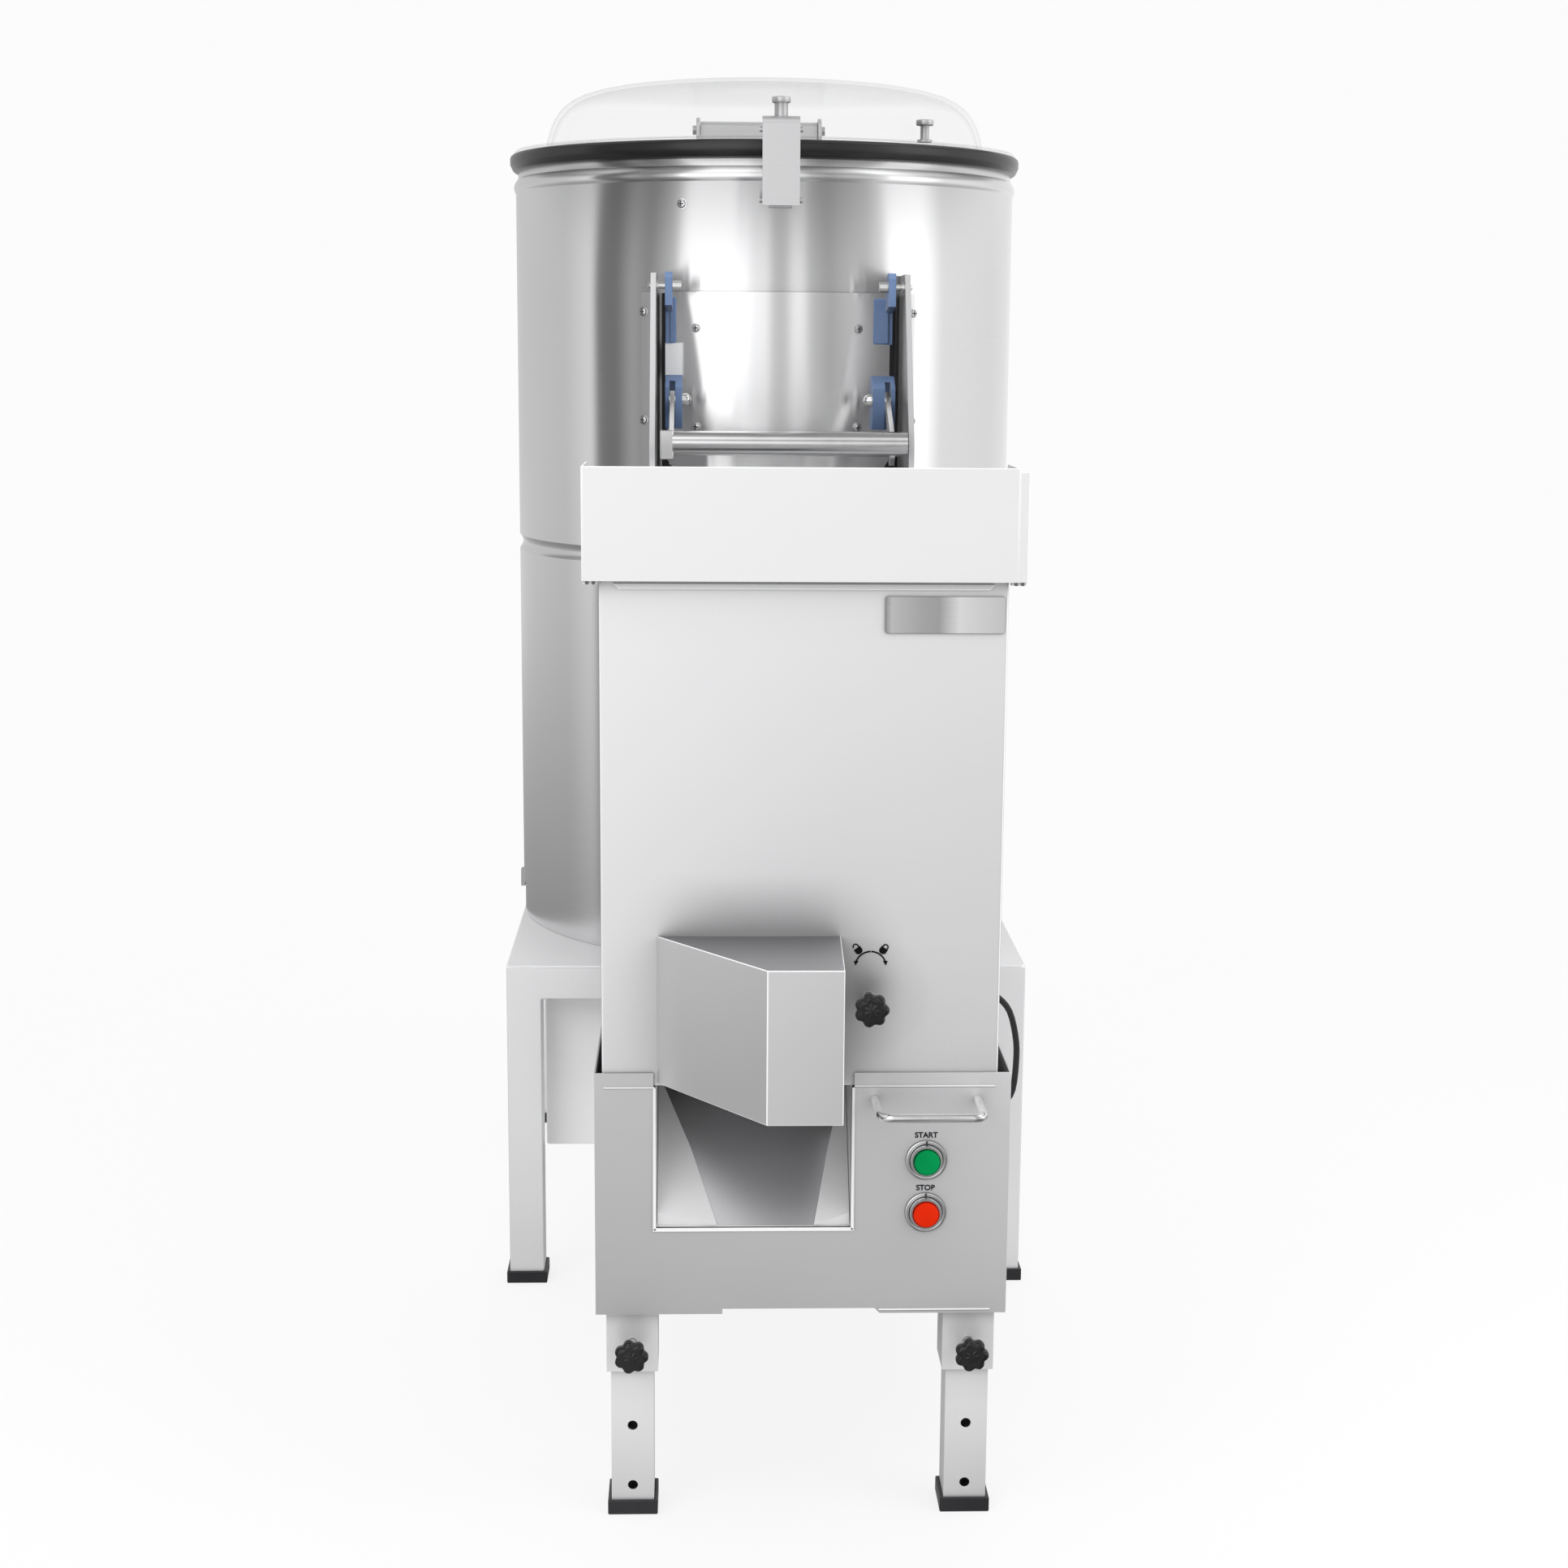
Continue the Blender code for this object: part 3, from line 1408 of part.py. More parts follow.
def make_handle_block(side, label, inner_ear):
    """A slotted block on the door; the handle's arm turns in the slot on a cross pin."""
    slot_half = handle_arm_sheet / 2 + arm_slot_gap
    inner = door_x(side, handle_arm_offset - slot_half - inner_ear)
    outer = door_x(side, handle_arm_offset + slot_half + outer_ear)
    surface = drum_surface_y(door_outer_radius, outer)
    back = surface + door_sheet
    front = handle_pivot_y - block_front
    top = handle_pivot_z + block_top_rise
    low = handle_pivot_z - block_low_drop
    profile = [
        (back, low),
        (handle_pivot_y, low),
        (front, handle_pivot_z - block_corner),
        (front, handle_pivot_z + block_corner),
        (handle_pivot_y + block_front, top),
        (back, top),
    ]
    block = extruded("handle_block_" + label, profile, "X", min(inner, outer), max(inner, outer))
    slot_floor = handle_pivot_y + arm_boss_radius + arm_slot_gap * 2
    slot = box(
        "handle_slot_" + label,
        (door_x(side, handle_arm_offset) - slot_half, front - overrun, low - overrun),
        (door_x(side, handle_arm_offset) + slot_half, slot_floor, top - block_slot_roof),
    )
    hole = rod(
        "handle_hole_" + label, (door_x(side, handle_arm_offset), handle_pivot_y, handle_pivot_z), "X",
        pivot_radius + seat_gap, -inner_ear - pivot_nut_length, inner_ear + pivot_nut_length, pin_steps,
    )
    seat = cylinder_cutter(
        "handle_seat_" + label, door_outer_radius + seat_gap, low - overrun, top + overrun
    )
    block = cut(block, slot, hole, seat)
    return hang(block, (door_centre_x, door_pivot_y, door_pivot_z))


def make_door_handle():
    """The bail: a polished round bar between two hooked arms, each with its pivot pin."""
    half = handle_arm_sheet / 2
    bar_left = door_x(-1, handle_arm_offset - half / 2)
    bar_right = door_x(1, bar_end_offset)
    bar = turned(
        "door_handle",
        [(0, bar_left), (bar_radius, bar_left), (bar_radius, bar_right), (0, bar_right)],
        (0, bar_y, bar_z), "X", bar_steps,
    )
    slope = math.atan2(bar_drop, bar_reach)
    arm = []
    for step in range(arm_boss_steps + 1):
        angle = -slope + math.pi / 2 - math.pi * step / arm_boss_steps
        arm.append((
            handle_pivot_y + arm_boss_radius * math.cos(angle),
            handle_pivot_z + arm_boss_radius * math.sin(angle),
        ))
    for share_y, share_z in arm_hook_shares:
        arm.append((bar_y + arm_half_depth * share_y, bar_z + arm_half_depth * share_z))
    for side, label, inner_ear in ((-1, "left", inner_ear_left), (1, "right", inner_ear_right)):
        middle = door_x(side, handle_arm_offset)
        join(bar, extruded("arm_" + label, arm, "X", middle - half, middle + half))
        inner_end = half + arm_slot_gap + inner_ear + seat_gap
        outer_end = half + arm_slot_gap + outer_ear
        pin = [
            (0, outer_end),
            (pivot_radius, outer_end),
            (pivot_radius, -inner_end),
            (pivot_nut_radius, -inner_end),
            (pivot_nut_radius, -inner_end - pivot_nut_length * nut_hex_share),
            (pivot_nut_radius * nut_dome_share, -inner_end - pivot_nut_length * nut_shoulder_share),
            (0, -inner_end - pivot_nut_length),
        ]
        pin = [(radius, side * height) for radius, height in pin]
        pin_centre = (middle, handle_pivot_y, handle_pivot_z)
        join(bar, turned("pivot_pin_" + label, pin, pin_centre, "X", pin_steps))
    tab_inner = door_x(-1, handle_arm_offset - half)
    tab = box(
        "handle_tab",
        (tab_inner - tab_width, bar_y - tab_out, bar_z - tab_drop),
        (tab_inner - seat_gap, bar_y - tab_out + tab_sheet, bar_z + tab_rise),
    )
    join(bar, soften(tab, tab_edge))
    return hang(bar, (door_centre_x, handle_pivot_y, handle_pivot_z))


# Cutter cabinet: hopper tray, cabinet, feed funnel, cutter and blade grid

tray_left_out = 0.0145
tray_right_out = 0.0070
tray_front_out = 0.010
tray_height = 0.100
tray_low_height = 0.038
tray_full_depth = 0.085
tray_slope_depth = 0.060
tray_back_gap = 0.025
tray_sheet = 0.0015
tray_flange = 0.008
tray_flange_low = 0.003
tray_rim = 0.0125
lip_width_share = 0.93
lip_height = 0.005
lip_out = 0.0025
lip_drop = 0.002
window_left_in = 0.0575
window_right_in = 0.1525
window_bottom_rise = 0.024
window_height = 0.100
bend_radius = 0.0025

tray_left_x = cabinet_left_x - tray_left_out
tray_right_x = cabinet_right_x + tray_right_out
tray_front_y = cabinet_front_y - tray_front_out
tray_floor_z = cabinet_top_z + seat_gap
tray_top_z = tray_floor_z + tray_height
tray_back_y = drum_front_y - tray_back_gap
window_left_x = cabinet_left_x + window_left_in
window_right_x = cabinet_right_x - window_right_in
window_bottom_z = cabinet_bottom_z + window_bottom_rise
window_top_z = window_bottom_z + window_height


def make_hopper_tray():
    """Folded tray: a high front wall, side walls that drop away from it and an open floor."""
    low = tray_floor_z
    high = tray_top_z
    back_high = tray_floor_z + tray_low_height
    full_y = tray_front_y + tray_full_depth
    slope_y = full_y + tray_slope_depth
    left = tray_left_x
    right = tray_right_x
    in_left = cabinet_left_x + tray_rim
    in_right = cabinet_right_x - tray_rim
    in_front = cabinet_front_y + tray_rim
    in_back = cabinet_back_y - tray_rim
    points = [
        (left, tray_front_y, low), (right, tray_front_y, low),
        (right, tray_back_y, low), (left, tray_back_y, low),
        (left, tray_front_y, high), (right, tray_front_y, high),
        (right, full_y, high), (right, slope_y, back_high), (right, tray_back_y, back_high),
        (left, tray_back_y, back_high), (left, slope_y, back_high), (left, full_y, high),
        (in_left, in_front, low), (in_right, in_front, low),
        (in_right, in_back, low), (in_left, in_back, low),
    ]
    faces = [
        (0, 1, 5, 4),
        (1, 2, 8, 7, 6, 5),
        (2, 3, 9, 8),
        (3, 0, 4, 11, 10, 9),
        (1, 0, 12, 13),
        (2, 1, 13, 14),
        (3, 2, 14, 15),
        (0, 3, 15, 12),
    ]
    tray = sheet("hopper_tray", points, faces, tray_sheet)
    flange = box(
        "tray_flange",
        (right - tray_sheet / 2, tray_front_y + seat_gap, low + seat_gap),
        (right + tray_flange, tray_front_y + tray_sheet + seat_gap, high - tray_flange_low),
    )
    return join(tray, flange)


def make_cabinet():
    """The cabinet's folded wrapper, open above and below, with the outlet window at the front."""
    low = cabinet_bottom_z
    high = cabinet_top_z
    left, right, front, back = cabinet_left_x, cabinet_right_x, cabinet_front_y, cabinet_back_y
    points = [
        (left, front, low), (right, front, low), (right, back, low), (left, back, low),
        (left, front, high), (right, front, high), (right, back, high), (left, back, high),
    ]
    faces = [(0, 1, 5, 4), (1, 2, 6, 5), (2, 3, 7, 6), (3, 0, 4, 7)]
    cabinet = sheet("cabinet_shell", points, faces, cabinet_sheet, bend_radius)
    window = box(
        "outlet_window",
        (window_left_x, front - overrun, window_bottom_z),
        (window_right_x, front + cabinet_sheet + overrun, window_top_z),
    )
    knob_hole = rod(
        "hood_knob_hole", (hood_knob_x, front, hood_knob_z), "Y", knob_spindle_radius + seat_gap,
        -overrun, cabinet_sheet + overrun, pin_steps,
    )
    cut(cabinet, window, knob_hole)
    lip_half = cabinet_width * lip_width_share / 2
    lip_low = high - lip_drop - lip_height
    lip = [
        (cabinet_centre_x - lip_half, lip_low + lip_height),
        (cabinet_centre_x - lip_half + lip_height, lip_low),
        (cabinet_centre_x + lip_half - lip_height, lip_low),
        (cabinet_centre_x + lip_half, lip_low + lip_height),
    ]
    return join(cabinet, extruded("cabinet_lip", lip, "Y", front - lip_out, front + cabinet_sheet / 2))


cutter_setback = 0.190
cutter_side_gap = 0.004
cutter_wall = 0.002
cutter_height = 0.112
cutter_floor = 0.003
funnel_drop = 0.012
funnel_low_in = 0.040
funnel_sheet = 0.0015
funnel_collar = 0.020
funnel_bend = 0.00375
rotor_plate = 0.004
rotor_vane_height = 0.085
rotor_vane = 0.006
rotor_vane_share = 0.97
rotor_hub_radius = 0.022
rotor_hub_height = 0.051
rotor_nose_height = 0.064
rotor_gap = 0.006
rotor_vanes = 4
cutter_motor_radius = 0.066
cutter_motor_flange = 0.008
cutter_motor_neck = 0.053
cutter_shaft_radius = 0.009
cutter_shaft_play = 0.0012
cutter_shaft_depth = 0.060
housing_sheet = 0.0015
housing_floor_rise = 0.010
blade_thickness = 0.0012
blade_columns = 10
blade_rows = 7
grid_frame = 0.0035
grid_depth = 0.022

cutter_centre_x = (window_left_x + window_right_x) / 2
cutter_radius = cutter_centre_x - cabinet_left_x - cabinet_sheet - cutter_side_gap
funnel_low_half = cutter_radius - funnel_low_in
cutter_y = cabinet_front_y + cutter_setback
housing_floor_top_z = housing_floor_height + housing_floor_rise + housing_sheet
cutter_motor_base_z = housing_floor_top_z + seat_gap
cutter_floor_z = window_bottom_z - cutter_floor - seat_gap
cutter_motor_top_z = cutter_floor_z - seat_gap
rotor_floor_z = cutter_floor_z + cutter_floor + rotor_gap / 2


def make_feed_funnel():
    """Four sloping sheets that lead from the tray's opening to the cutter's mouth."""
    top = cabinet_top_z - seat_gap
    low = cutter_floor_z + cutter_height + funnel_drop
    left = cabinet_left_x + cabinet_sheet + seat_gap
    right = cabinet_right_x - cabinet_sheet - seat_gap
    front = cabinet_front_y + cabinet_sheet + seat_gap
    back = cabinet_back_y - cabinet_sheet - seat_gap
    slope_top = top - funnel_collar
    points = []
    for z in (top, slope_top):
        points += [(left, front, z), (right, front, z), (right, back, z), (left, back, z)]
    near = cutter_y - funnel_low_half
    far = cutter_y + funnel_low_half
    points += [
        (cutter_centre_x - funnel_low_half, near, low), (cutter_centre_x + funnel_low_half, near, low),
        (cutter_centre_x + funnel_low_half, far, low), (cutter_centre_x - funnel_low_half, far, low),
    ]
    faces = []
    for ring in (0, 4):
        for index in range(4):
            after = (index + 1) % 4
            faces.append((ring + 4 + index, ring + 4 + after, ring + after, ring + index))
    return sheet("feed_funnel", points, faces, funnel_sheet, funnel_bend)


def make_cutter_drum():
    """The fixed cutting chamber: an open-topped drum with an outlet to the blade grid."""
    top = cutter_floor_z + cutter_height
    bore = cutter_shaft_radius + cutter_shaft_play
    outline = [
        (bore, cutter_floor_z),
        (cutter_radius, cutter_floor_z),
        (cutter_radius, top),
        (cutter_radius - cutter_wall, top),
        (cutter_radius - cutter_wall, cutter_floor_z + cutter_floor),
        (bore, cutter_floor_z + cutter_floor),
    ]
    drum = turned("cutter_drum", outline, (cutter_centre_x, cutter_y, 0), "Z", body_steps)
    sill_z = cutter_floor_z + cutter_floor + grid_frame
    outlet = box(
        "cutter_outlet",
        (window_left_x + grid_frame, cutter_y - cutter_radius - overrun, sill_z),
        (window_right_x - grid_frame, cutter_y - cutter_radius / 3, window_top_z - grid_frame),
    )
    return cut(drum, outlet)


def make_cutter_rotor():
    """The impeller: a plate with four vanes on a hub, one with its drive shaft."""
    centre = (cutter_centre_x, cutter_y, 0)
    reach = cutter_radius - cutter_wall - rotor_gap
    plate_top = rotor_floor_z + rotor_plate
    outline = [
        (0, cutter_motor_top_z - cutter_shaft_depth),
        (cutter_shaft_radius, cutter_motor_top_z - cutter_shaft_depth),
        (cutter_shaft_radius, rotor_floor_z),
        (reach, rotor_floor_z),
        (reach, plate_top),
        (rotor_hub_radius, plate_top),
        (rotor_hub_radius, plate_top + rotor_hub_height),
        (0, plate_top + rotor_nose_height),
    ]
    rotor = turned("cutter_rotor", outline, centre, "Z", body_steps)
    half = rotor_vane / 2
    near = rotor_hub_radius / 2
    far = reach * rotor_vane_share
    for index in range(rotor_vanes):
        angle = 2 * math.pi * index / rotor_vanes
        across = (math.cos(angle), math.sin(angle))
        over = (-math.sin(angle), math.cos(angle))
        corners = []
        for along, aside in ((near, -half), (far, -half), (far, half), (near, half)):
            corners.append((
                cutter_centre_x + across[0] * along + over[0] * aside,
                cutter_y + across[1] * along + over[1] * aside,
            ))
        vane_low = rotor_floor_z + rotor_plate / 2
        vane = extruded("vane_" + str(index), corners, "Z", vane_low, rotor_floor_z + rotor_vane_height)
        join(rotor, vane)
    return hang(rotor, (cutter_centre_x, cutter_y, rotor_floor_z))


def make_cutter_motor():
    """The gear motor under the cutting chamber, standing on the housing's floor."""
    bore = cutter_shaft_radius + seat_gap
    neck = cutter_motor_neck
    shoulder = cutter_motor_top_z - cutter_motor_flange
    outline = [
        (0, cutter_motor_base_z),
        (neck, cutter_motor_base_z),
        (neck, cutter_motor_base_z + cutter_motor_flange),
        (cutter_motor_radius, cutter_motor_base_z + cutter_motor_flange * 2),
        (cutter_motor_radius, shoulder - cutter_motor_flange * 3),
        (neck, shoulder - cutter_motor_flange * 2),
        (neck, shoulder),
        (cutter_motor_radius, shoulder),
        (cutter_motor_radius, cutter_motor_top_z),
        (bore, cutter_motor_top_z),
        (bore, cutter_motor_top_z - cutter_shaft_depth - seat_gap),
        (0, cutter_motor_top_z - cutter_shaft_depth - seat_gap),
    ]
    return turned("cutter_motor", outline, (cutter_centre_x, cutter_y, 0), "Z", bar_steps)


def make_blade_grid():
    """The cutting grid: crossed blades in a frame that slides into the outlet window."""
    left = window_left_x + seat_gap
    right = window_right_x - seat_gap
    low = window_bottom_z + seat_gap
    high = window_top_z - seat_gap
    x_lines = grid_lines(left, right, blade_columns)
    z_lines = grid_lines(low, high, blade_rows)
    y_lines = (cabinet_front_y + seat_gap, cabinet_front_y + grid_depth)
    return block_frame("blade_grid", x_lines, y_lines, z_lines, grid_cell)


def grid_lines(low, high, cells):
    """Edges of frame, openings and blades in turn."""
    inner = high - low - 2 * grid_frame
    pitch = (inner + blade_thickness) / cells
    lines = [low]
    for cell in range(cells):
        start = low + grid_frame + cell * pitch
        lines += [start, start + pitch - blade_thickness]
    lines.append(high)
    return lines


def grid_cell(i, j, k):
    """A cell of the grid is open only where an opening's column crosses an opening's row."""
    return i % 2 == 0 or k % 2 == 0


# Outlet hood and the knob that locks the grid

hood_lap = 0.007
hood_nose_width = 0.0663
hood_taper = 0.003
hood_top_rise = 0.140
hood_bottom_rise = 0.0022
hood_sheet = 0.0015
hood_knob_side = 0.0328
hood_knob_rise = 0.0835
knob_radius = 0.0158
knob_lobe = 0.0016
knob_lobes = 7
knob_lobe_steps = 6
knob_lobe_power = 1.5
knob_edge = 0.0014
knob_edge_angle = 60
knob_depth = 0.012
knob_neck_radius = 0.0085
knob_neck_length = 0.008
knob_spindle_radius = 0.0042
hood_spindle_length = 0.040
cam_length = 0.030
cam_width = 0.016
cam_corner = 0.0064
cam_sheet = 0.003

hood_left_x = window_left_x - hood_lap
hood_right_x = window_right_x + hood_lap
hood_nose_right_x = hood_right_x - hood_taper
hood_nose_left_x = hood_nose_right_x - hood_nose_width
hood_knob_x = window_right_x + hood_knob_side
hood_knob_z = cabinet_bottom_z + hood_knob_rise
hood_top_z = cabinet_bottom_z + hood_top_rise
hood_bottom_z = cabinet_bottom_z + hood_bottom_rise


def make_outlet_hood():
    """The folded deflector: slanting left cheek, narrow front, closed top, open back and bottom."""
    back = cabinet_front_y - seat_gap
    nose = cabinet_front_y - hood_reach
    plan = [
        (hood_left_x, back), (hood_nose_left_x, nose), (hood_nose_right_x, nose), (hood_right_x, back),
    ]
    points = [(x, y, hood_bottom_z) for x, y in plan] + [(x, y, hood_top_z) for x, y in plan]
    faces = [(0, 1, 5, 4), (1, 2, 6, 5), (2, 3, 7, 6), (4, 5, 6, 7)]
    hood = sheet("outlet_hood", points, faces, hood_sheet)
    trim = box(
        "hood_trim",
        (hood_left_x - overrun, back, hood_bottom_z - overrun),
        (hood_right_x + overrun, back + overrun, hood_top_z + overrun),
    )
    return hang(cut(hood, trim), (hood_left_x, back, hood_bottom_z))


def star_outline(centre_x, centre_z, radius):
    """Seven soft lobes, as a rounded star."""
    steps = knob_lobes * knob_lobe_steps
    outline = []
    for step in range(steps):
        angle = 2 * math.pi * step / steps
        swing = math.cos(knob_lobes * angle)
        reach = radius - 2 * knob_lobe * ((1 - swing) / 2) ** knob_lobe_power
        outline.append((centre_x + reach * math.sin(angle), centre_z + reach * math.cos(angle)))
    return outline


def make_knob(name, x, z, front_y, reach, tip):
    """A seven-lobed clamping knob on a spindle. reach is from its back to front_y, tip goes beyond."""
    head_back = front_y - reach
    head = extruded(name, star_outline(x, z, knob_radius), "Y", head_back - knob_depth, head_back)
    soften(head, knob_edge, 1, knob_edge_angle)
    neck_end = min(knob_neck_length, reach / 2)
    neck = turned(
        name + "_neck",
        [
            (0, -knob_depth / 2),
            (knob_neck_radius, -knob_depth / 2),
            (knob_neck_radius, neck_end),
            (knob_spindle_radius, neck_end),
            (knob_spindle_radius, reach + tip),
            (0, reach + tip),
        ],
        (x, head_back, z), "Y", pin_steps,
    )
    return join(head, neck)


def make_hood_knob():
    inside = cabinet_sheet + seat_gap + cam_sheet
    knob = make_knob("hood_knob", hood_knob_x, hood_knob_z, cabinet_front_y, hood_spindle_length, inside)
    cam_y = cabinet_front_y + cabinet_sheet + seat_gap
    cam = extruded(
        "hood_knob_cam",
        rounded_rectangle(
            (hood_knob_x - cam_length, hood_knob_z - cam_width / 2),
            (hood_knob_x + cam_width / 2, hood_knob_z + cam_width / 2),
            cam_corner,
        ),
        "Y", cam_y, cam_y + cam_sheet,
    )
    return hang(join(knob, cam), (hood_knob_x, cabinet_front_y, hood_knob_z))


# Lower housing with its catch chute, controls and telescopic legs

cutout_left_in = 0.054
cutout_right_in = 0.1435
cutout_rise = 0.082
notch_left_in = 0.1175
notch_width = 0.146
notch_rise = 0.0050
front_leg_side = 0.040
front_leg_wall = 0.002
front_leg_setback = 0.011
front_leg_side_in = 0.0335
front_leg_length = 0.300
sleeve_side = 0.048
sleeve_drop = 0.060
sleeve_play = 0.001
sleeve_stub = 0.0045
leg_holes = 2
leg_hole_radius = 0.0048
leg_hole_pitch = 0.060
leg_hole_rise = 0.0285
leg_knob_rise = 0.0285
leg_knob_reach = 0.026
hook_side_in = 0.0605
hook_sheet = 0.003
hook_drop = 0.090
hook_lap = 0.0144

cutout_left_x = housing_left_x + cutout_left_in
cutout_right_x = housing_right_x - cutout_right_in
cutout_bottom_z = housing_floor_height + cutout_rise
notch_left_x = housing_left_x + notch_left_in
notch_right_x = notch_left_x + notch_width
sleeve_low_z = housing_floor_height - sleeve_drop
leg_knob_z = sleeve_low_z + leg_knob_rise
housing_front_y = cabinet_front_y - seat_gap - housing_sheet
housing_back_y = cabinet_back_y + seat_gap + housing_sheet
front_leg_y = cabinet_front_y + front_leg_setback + front_leg_side / 2
chute_gap = 0.0015


def front_leg_x(side):
    if side < 0:
        return housing_left_x + front_leg_side_in
    return housing_right_x - front_leg_side_in


def make_lower_housing():
    """The open-topped housing: folded walls, a floor, two leg sleeves and the hooks on the stand."""
    low = housing_floor_height
    high = housing_top_z
    left, right, front, back = housing_left_x, housing_right_x, housing_front_y, housing_back_y
    front_line = [
        (left, low), (notch_left_x, low), (notch_left_x, low + notch_rise),
        (notch_right_x - notch_rise, low + notch_rise), (notch_right_x, low), (right, low),
        (right, high), (cutout_right_x, high), (cutout_right_x, cutout_bottom_z),
        (cutout_left_x, cutout_bottom_z), (cutout_left_x, high), (left, high),
    ]
    points = [(x, front, z) for x, z in front_line]
    points += [(right, back, low), (right, back, high), (left, back, high), (left, back, low)]
    faces = [tuple(range(12)), (5, 12, 13, 6), (12, 15, 14, 13), (15, 0, 11, 14)]
    housing = sheet("lower_housing", points, faces, housing_sheet)
    floor_low = low + housing_floor_rise
    inset = housing_sheet / 2
    floor = box(
        "housing_floor",
        (left + inset, front + inset, floor_low),
        (right - inset, back - inset, floor_low + housing_sheet),
    )
    join(housing, floor)
    holes = []
    for side, label in ((-1, "left"), (1, "right")):
        x = front_leg_x(side)
        bore = front_leg_side + 2 * sleeve_play
        sleeve = ring_tube(
            "leg_sleeve_" + label, square(x, front_leg_y, sleeve_side),
            square(x, front_leg_y, bore), sleeve_low_z, floor_low + sleeve_stub,
        )
        join(housing, sleeve)
        holes.append(box(
            "leg_passage_" + label,
            (x - bore / 2, front_leg_y - bore / 2, sleeve_low_z - overrun),
            (x + bore / 2, front_leg_y + bore / 2, floor_low + sleeve_stub + overrun),
        ))
        holes.append(rod(
            "sleeve_knob_hole_" + label, (x, front_leg_y - sleeve_side / 2, leg_knob_z), "Y",
            knob_spindle_radius + seat_gap, -overrun, overrun, pin_steps,
        ))
    hook_z = stand_height + seat_gap
    hook_profile = [
        (back - inset, hook_z - hook_drop),
        (back + hook_sheet, hook_z - hook_drop),
        (back + hook_sheet, hook_z),
        (stand_front_y + hook_lap, hook_z),
        (stand_front_y + hook_lap, hook_z + hook_sheet),
        (back - inset, hook_z + hook_sheet),
    ]
    hook_left_x = housing_left_x + hook_side_in
    hook_right_x = housing_right_x - hook_side_in
    join(housing, extruded("stand_hook", hook_profile, "X", hook_left_x, hook_right_x))
    for x, z in ((switch_x, start_z), (switch_x, stop_z)):
        holes.append(rod(
            "switch_hole_" + str(len(holes)), (x, housing_front_y, z), "Y", switch_neck_radius + seat_gap,
            -overrun, housing_sheet + overrun,
        ))
    return cut(housing, *holes)


chute_depth = 0.100
chute_toe_left_in = 0.0585
chute_toe_right_in = 0.036
chute_sheet = 0.0015

chute_toe_left_x = cutout_left_x + chute_toe_left_in
chute_toe_right_x = cutout_right_x - chute_toe_right_in


def make_catch_chute():
    """The sloping chute behind the cut-out: a floor that narrows to its toe between folded cheeks."""
    front = housing_front_y + housing_sheet + seat_gap + cabinet_sheet
    back = front + chute_depth
    low = cutout_bottom_z + chute_sheet
    high = cabinet_bottom_z - seat_gap
    left = cutout_left_x + chute_gap
    right = cutout_right_x - chute_gap
    points = [
        (left, front, low), (chute_toe_left_x, front, low), (chute_toe_right_x, front, low),
        (right, front, low), (left, back, high), (right, back, high),
        (left, front, high), (right, front, high),
    ]
    faces = [(1, 4, 5, 2), (0, 4, 1), (0, 6, 4), (2, 5, 3), (3, 5, 7)]
    return sheet("catch_chute", points, faces, chute_sheet)


bow_side_in = 0.035
bow_span = 0.0895
bow_drop = 0.025
bow_reach = 0.036
bow_radius = 0.0042
bow_corner = 0.012
bar_resolution = 3

bow_right_x = housing_right_x - bow_side_in
bow_left_x = bow_right_x - bow_span
bow_z = housing_top_z - bow_drop


def rounded_path(corners, radius, steps=4):
    """A path with each corner replaced by an arc of one radius; both ends stay as they are."""
    path = [corners[0]]
    for index in range(1, len(corners) - 1):
        before, here, after = corners[index - 1], corners[index], corners[index + 1]
        back = [b - h for b, h in zip(before, here)]
        ahead = [a - h for a, h in zip(after, here)]
        back_length = math.sqrt(sum(value * value for value in back))
        ahead_length = math.sqrt(sum(value * value for value in ahead))
        back = [value / back_length for value in back]
        ahead = [value / ahead_length for value in ahead]
        for step in range(steps + 1):
            share = step / steps
            start = [h + radius * b for h, b in zip(here, back)]
            end = [h + radius * a for h, a in zip(here, ahead)]
            path.append(tuple(
                (1 - share) ** 2 * s + 2 * share * (1 - share) * h + share ** 2 * e
                for s, h, e in zip(start, here, end)
            ))
    path.append(corners[-1])
    return path


def solid_tube(name, path, radius):
    """A round bar or cable along a path, as a bevelled curve with closed ends."""
    curve = bpy.data.curves.new(name, "CURVE")
    curve.dimensions = "3D"
    curve.bevel_depth = radius
    curve.bevel_resolution = bar_resolution
    curve.use_fill_caps = True
    line = curve.splines.new("POLY")
    line.points.add(len(path) - 1)
    for point, place in zip(line.points, path):
        point.co = (*place, 1.0)
        point.radius = 1.0
    piece = bpy.data.objects.new(name, curve)
    bpy.context.collection.objects.link(piece)
    return piece


def make_bow_handle():
    """The bent rod handle on the housing's front."""
    root = housing_front_y - seat_gap
    front = root - bow_reach
    corners = [
        (bow_left_x, root, bow_z), (bow_left_x, front, bow_z),
        (bow_right_x, front, bow_z), (bow_right_x, root, bow_z),
    ]
    path = rounded_path(corners, bow_corner)
    return solid_tube("bow_handle", path, bow_radius)


switch_side_in = 0.0765
start_drop = 0.0835
switch_pitch = 0.0503
bezel_radius = 0.0190
bezel_collar_radius = 0.0148
bezel_bore = 0.0121
bezel_flange = 0.002
bezel_step = 0.0028
bezel_lip_radius = 0.0144
bezel_well = 0.0013
bezel_collar = 0.0065
switch_neck_radius = 0.0110
switch_block_side = 0.028
switch_block_depth = 0.034
cap_radius = 0.0118
cap_out = 0.0095
cap_edge = 0.00165
cap_stem_tail = 0.0028
cap_stem_radius = 0.005
press_travel = 0.0035

switch_x = housing_right_x - switch_side_in
start_z = housing_top_z - start_drop
stop_z = start_z - switch_pitch


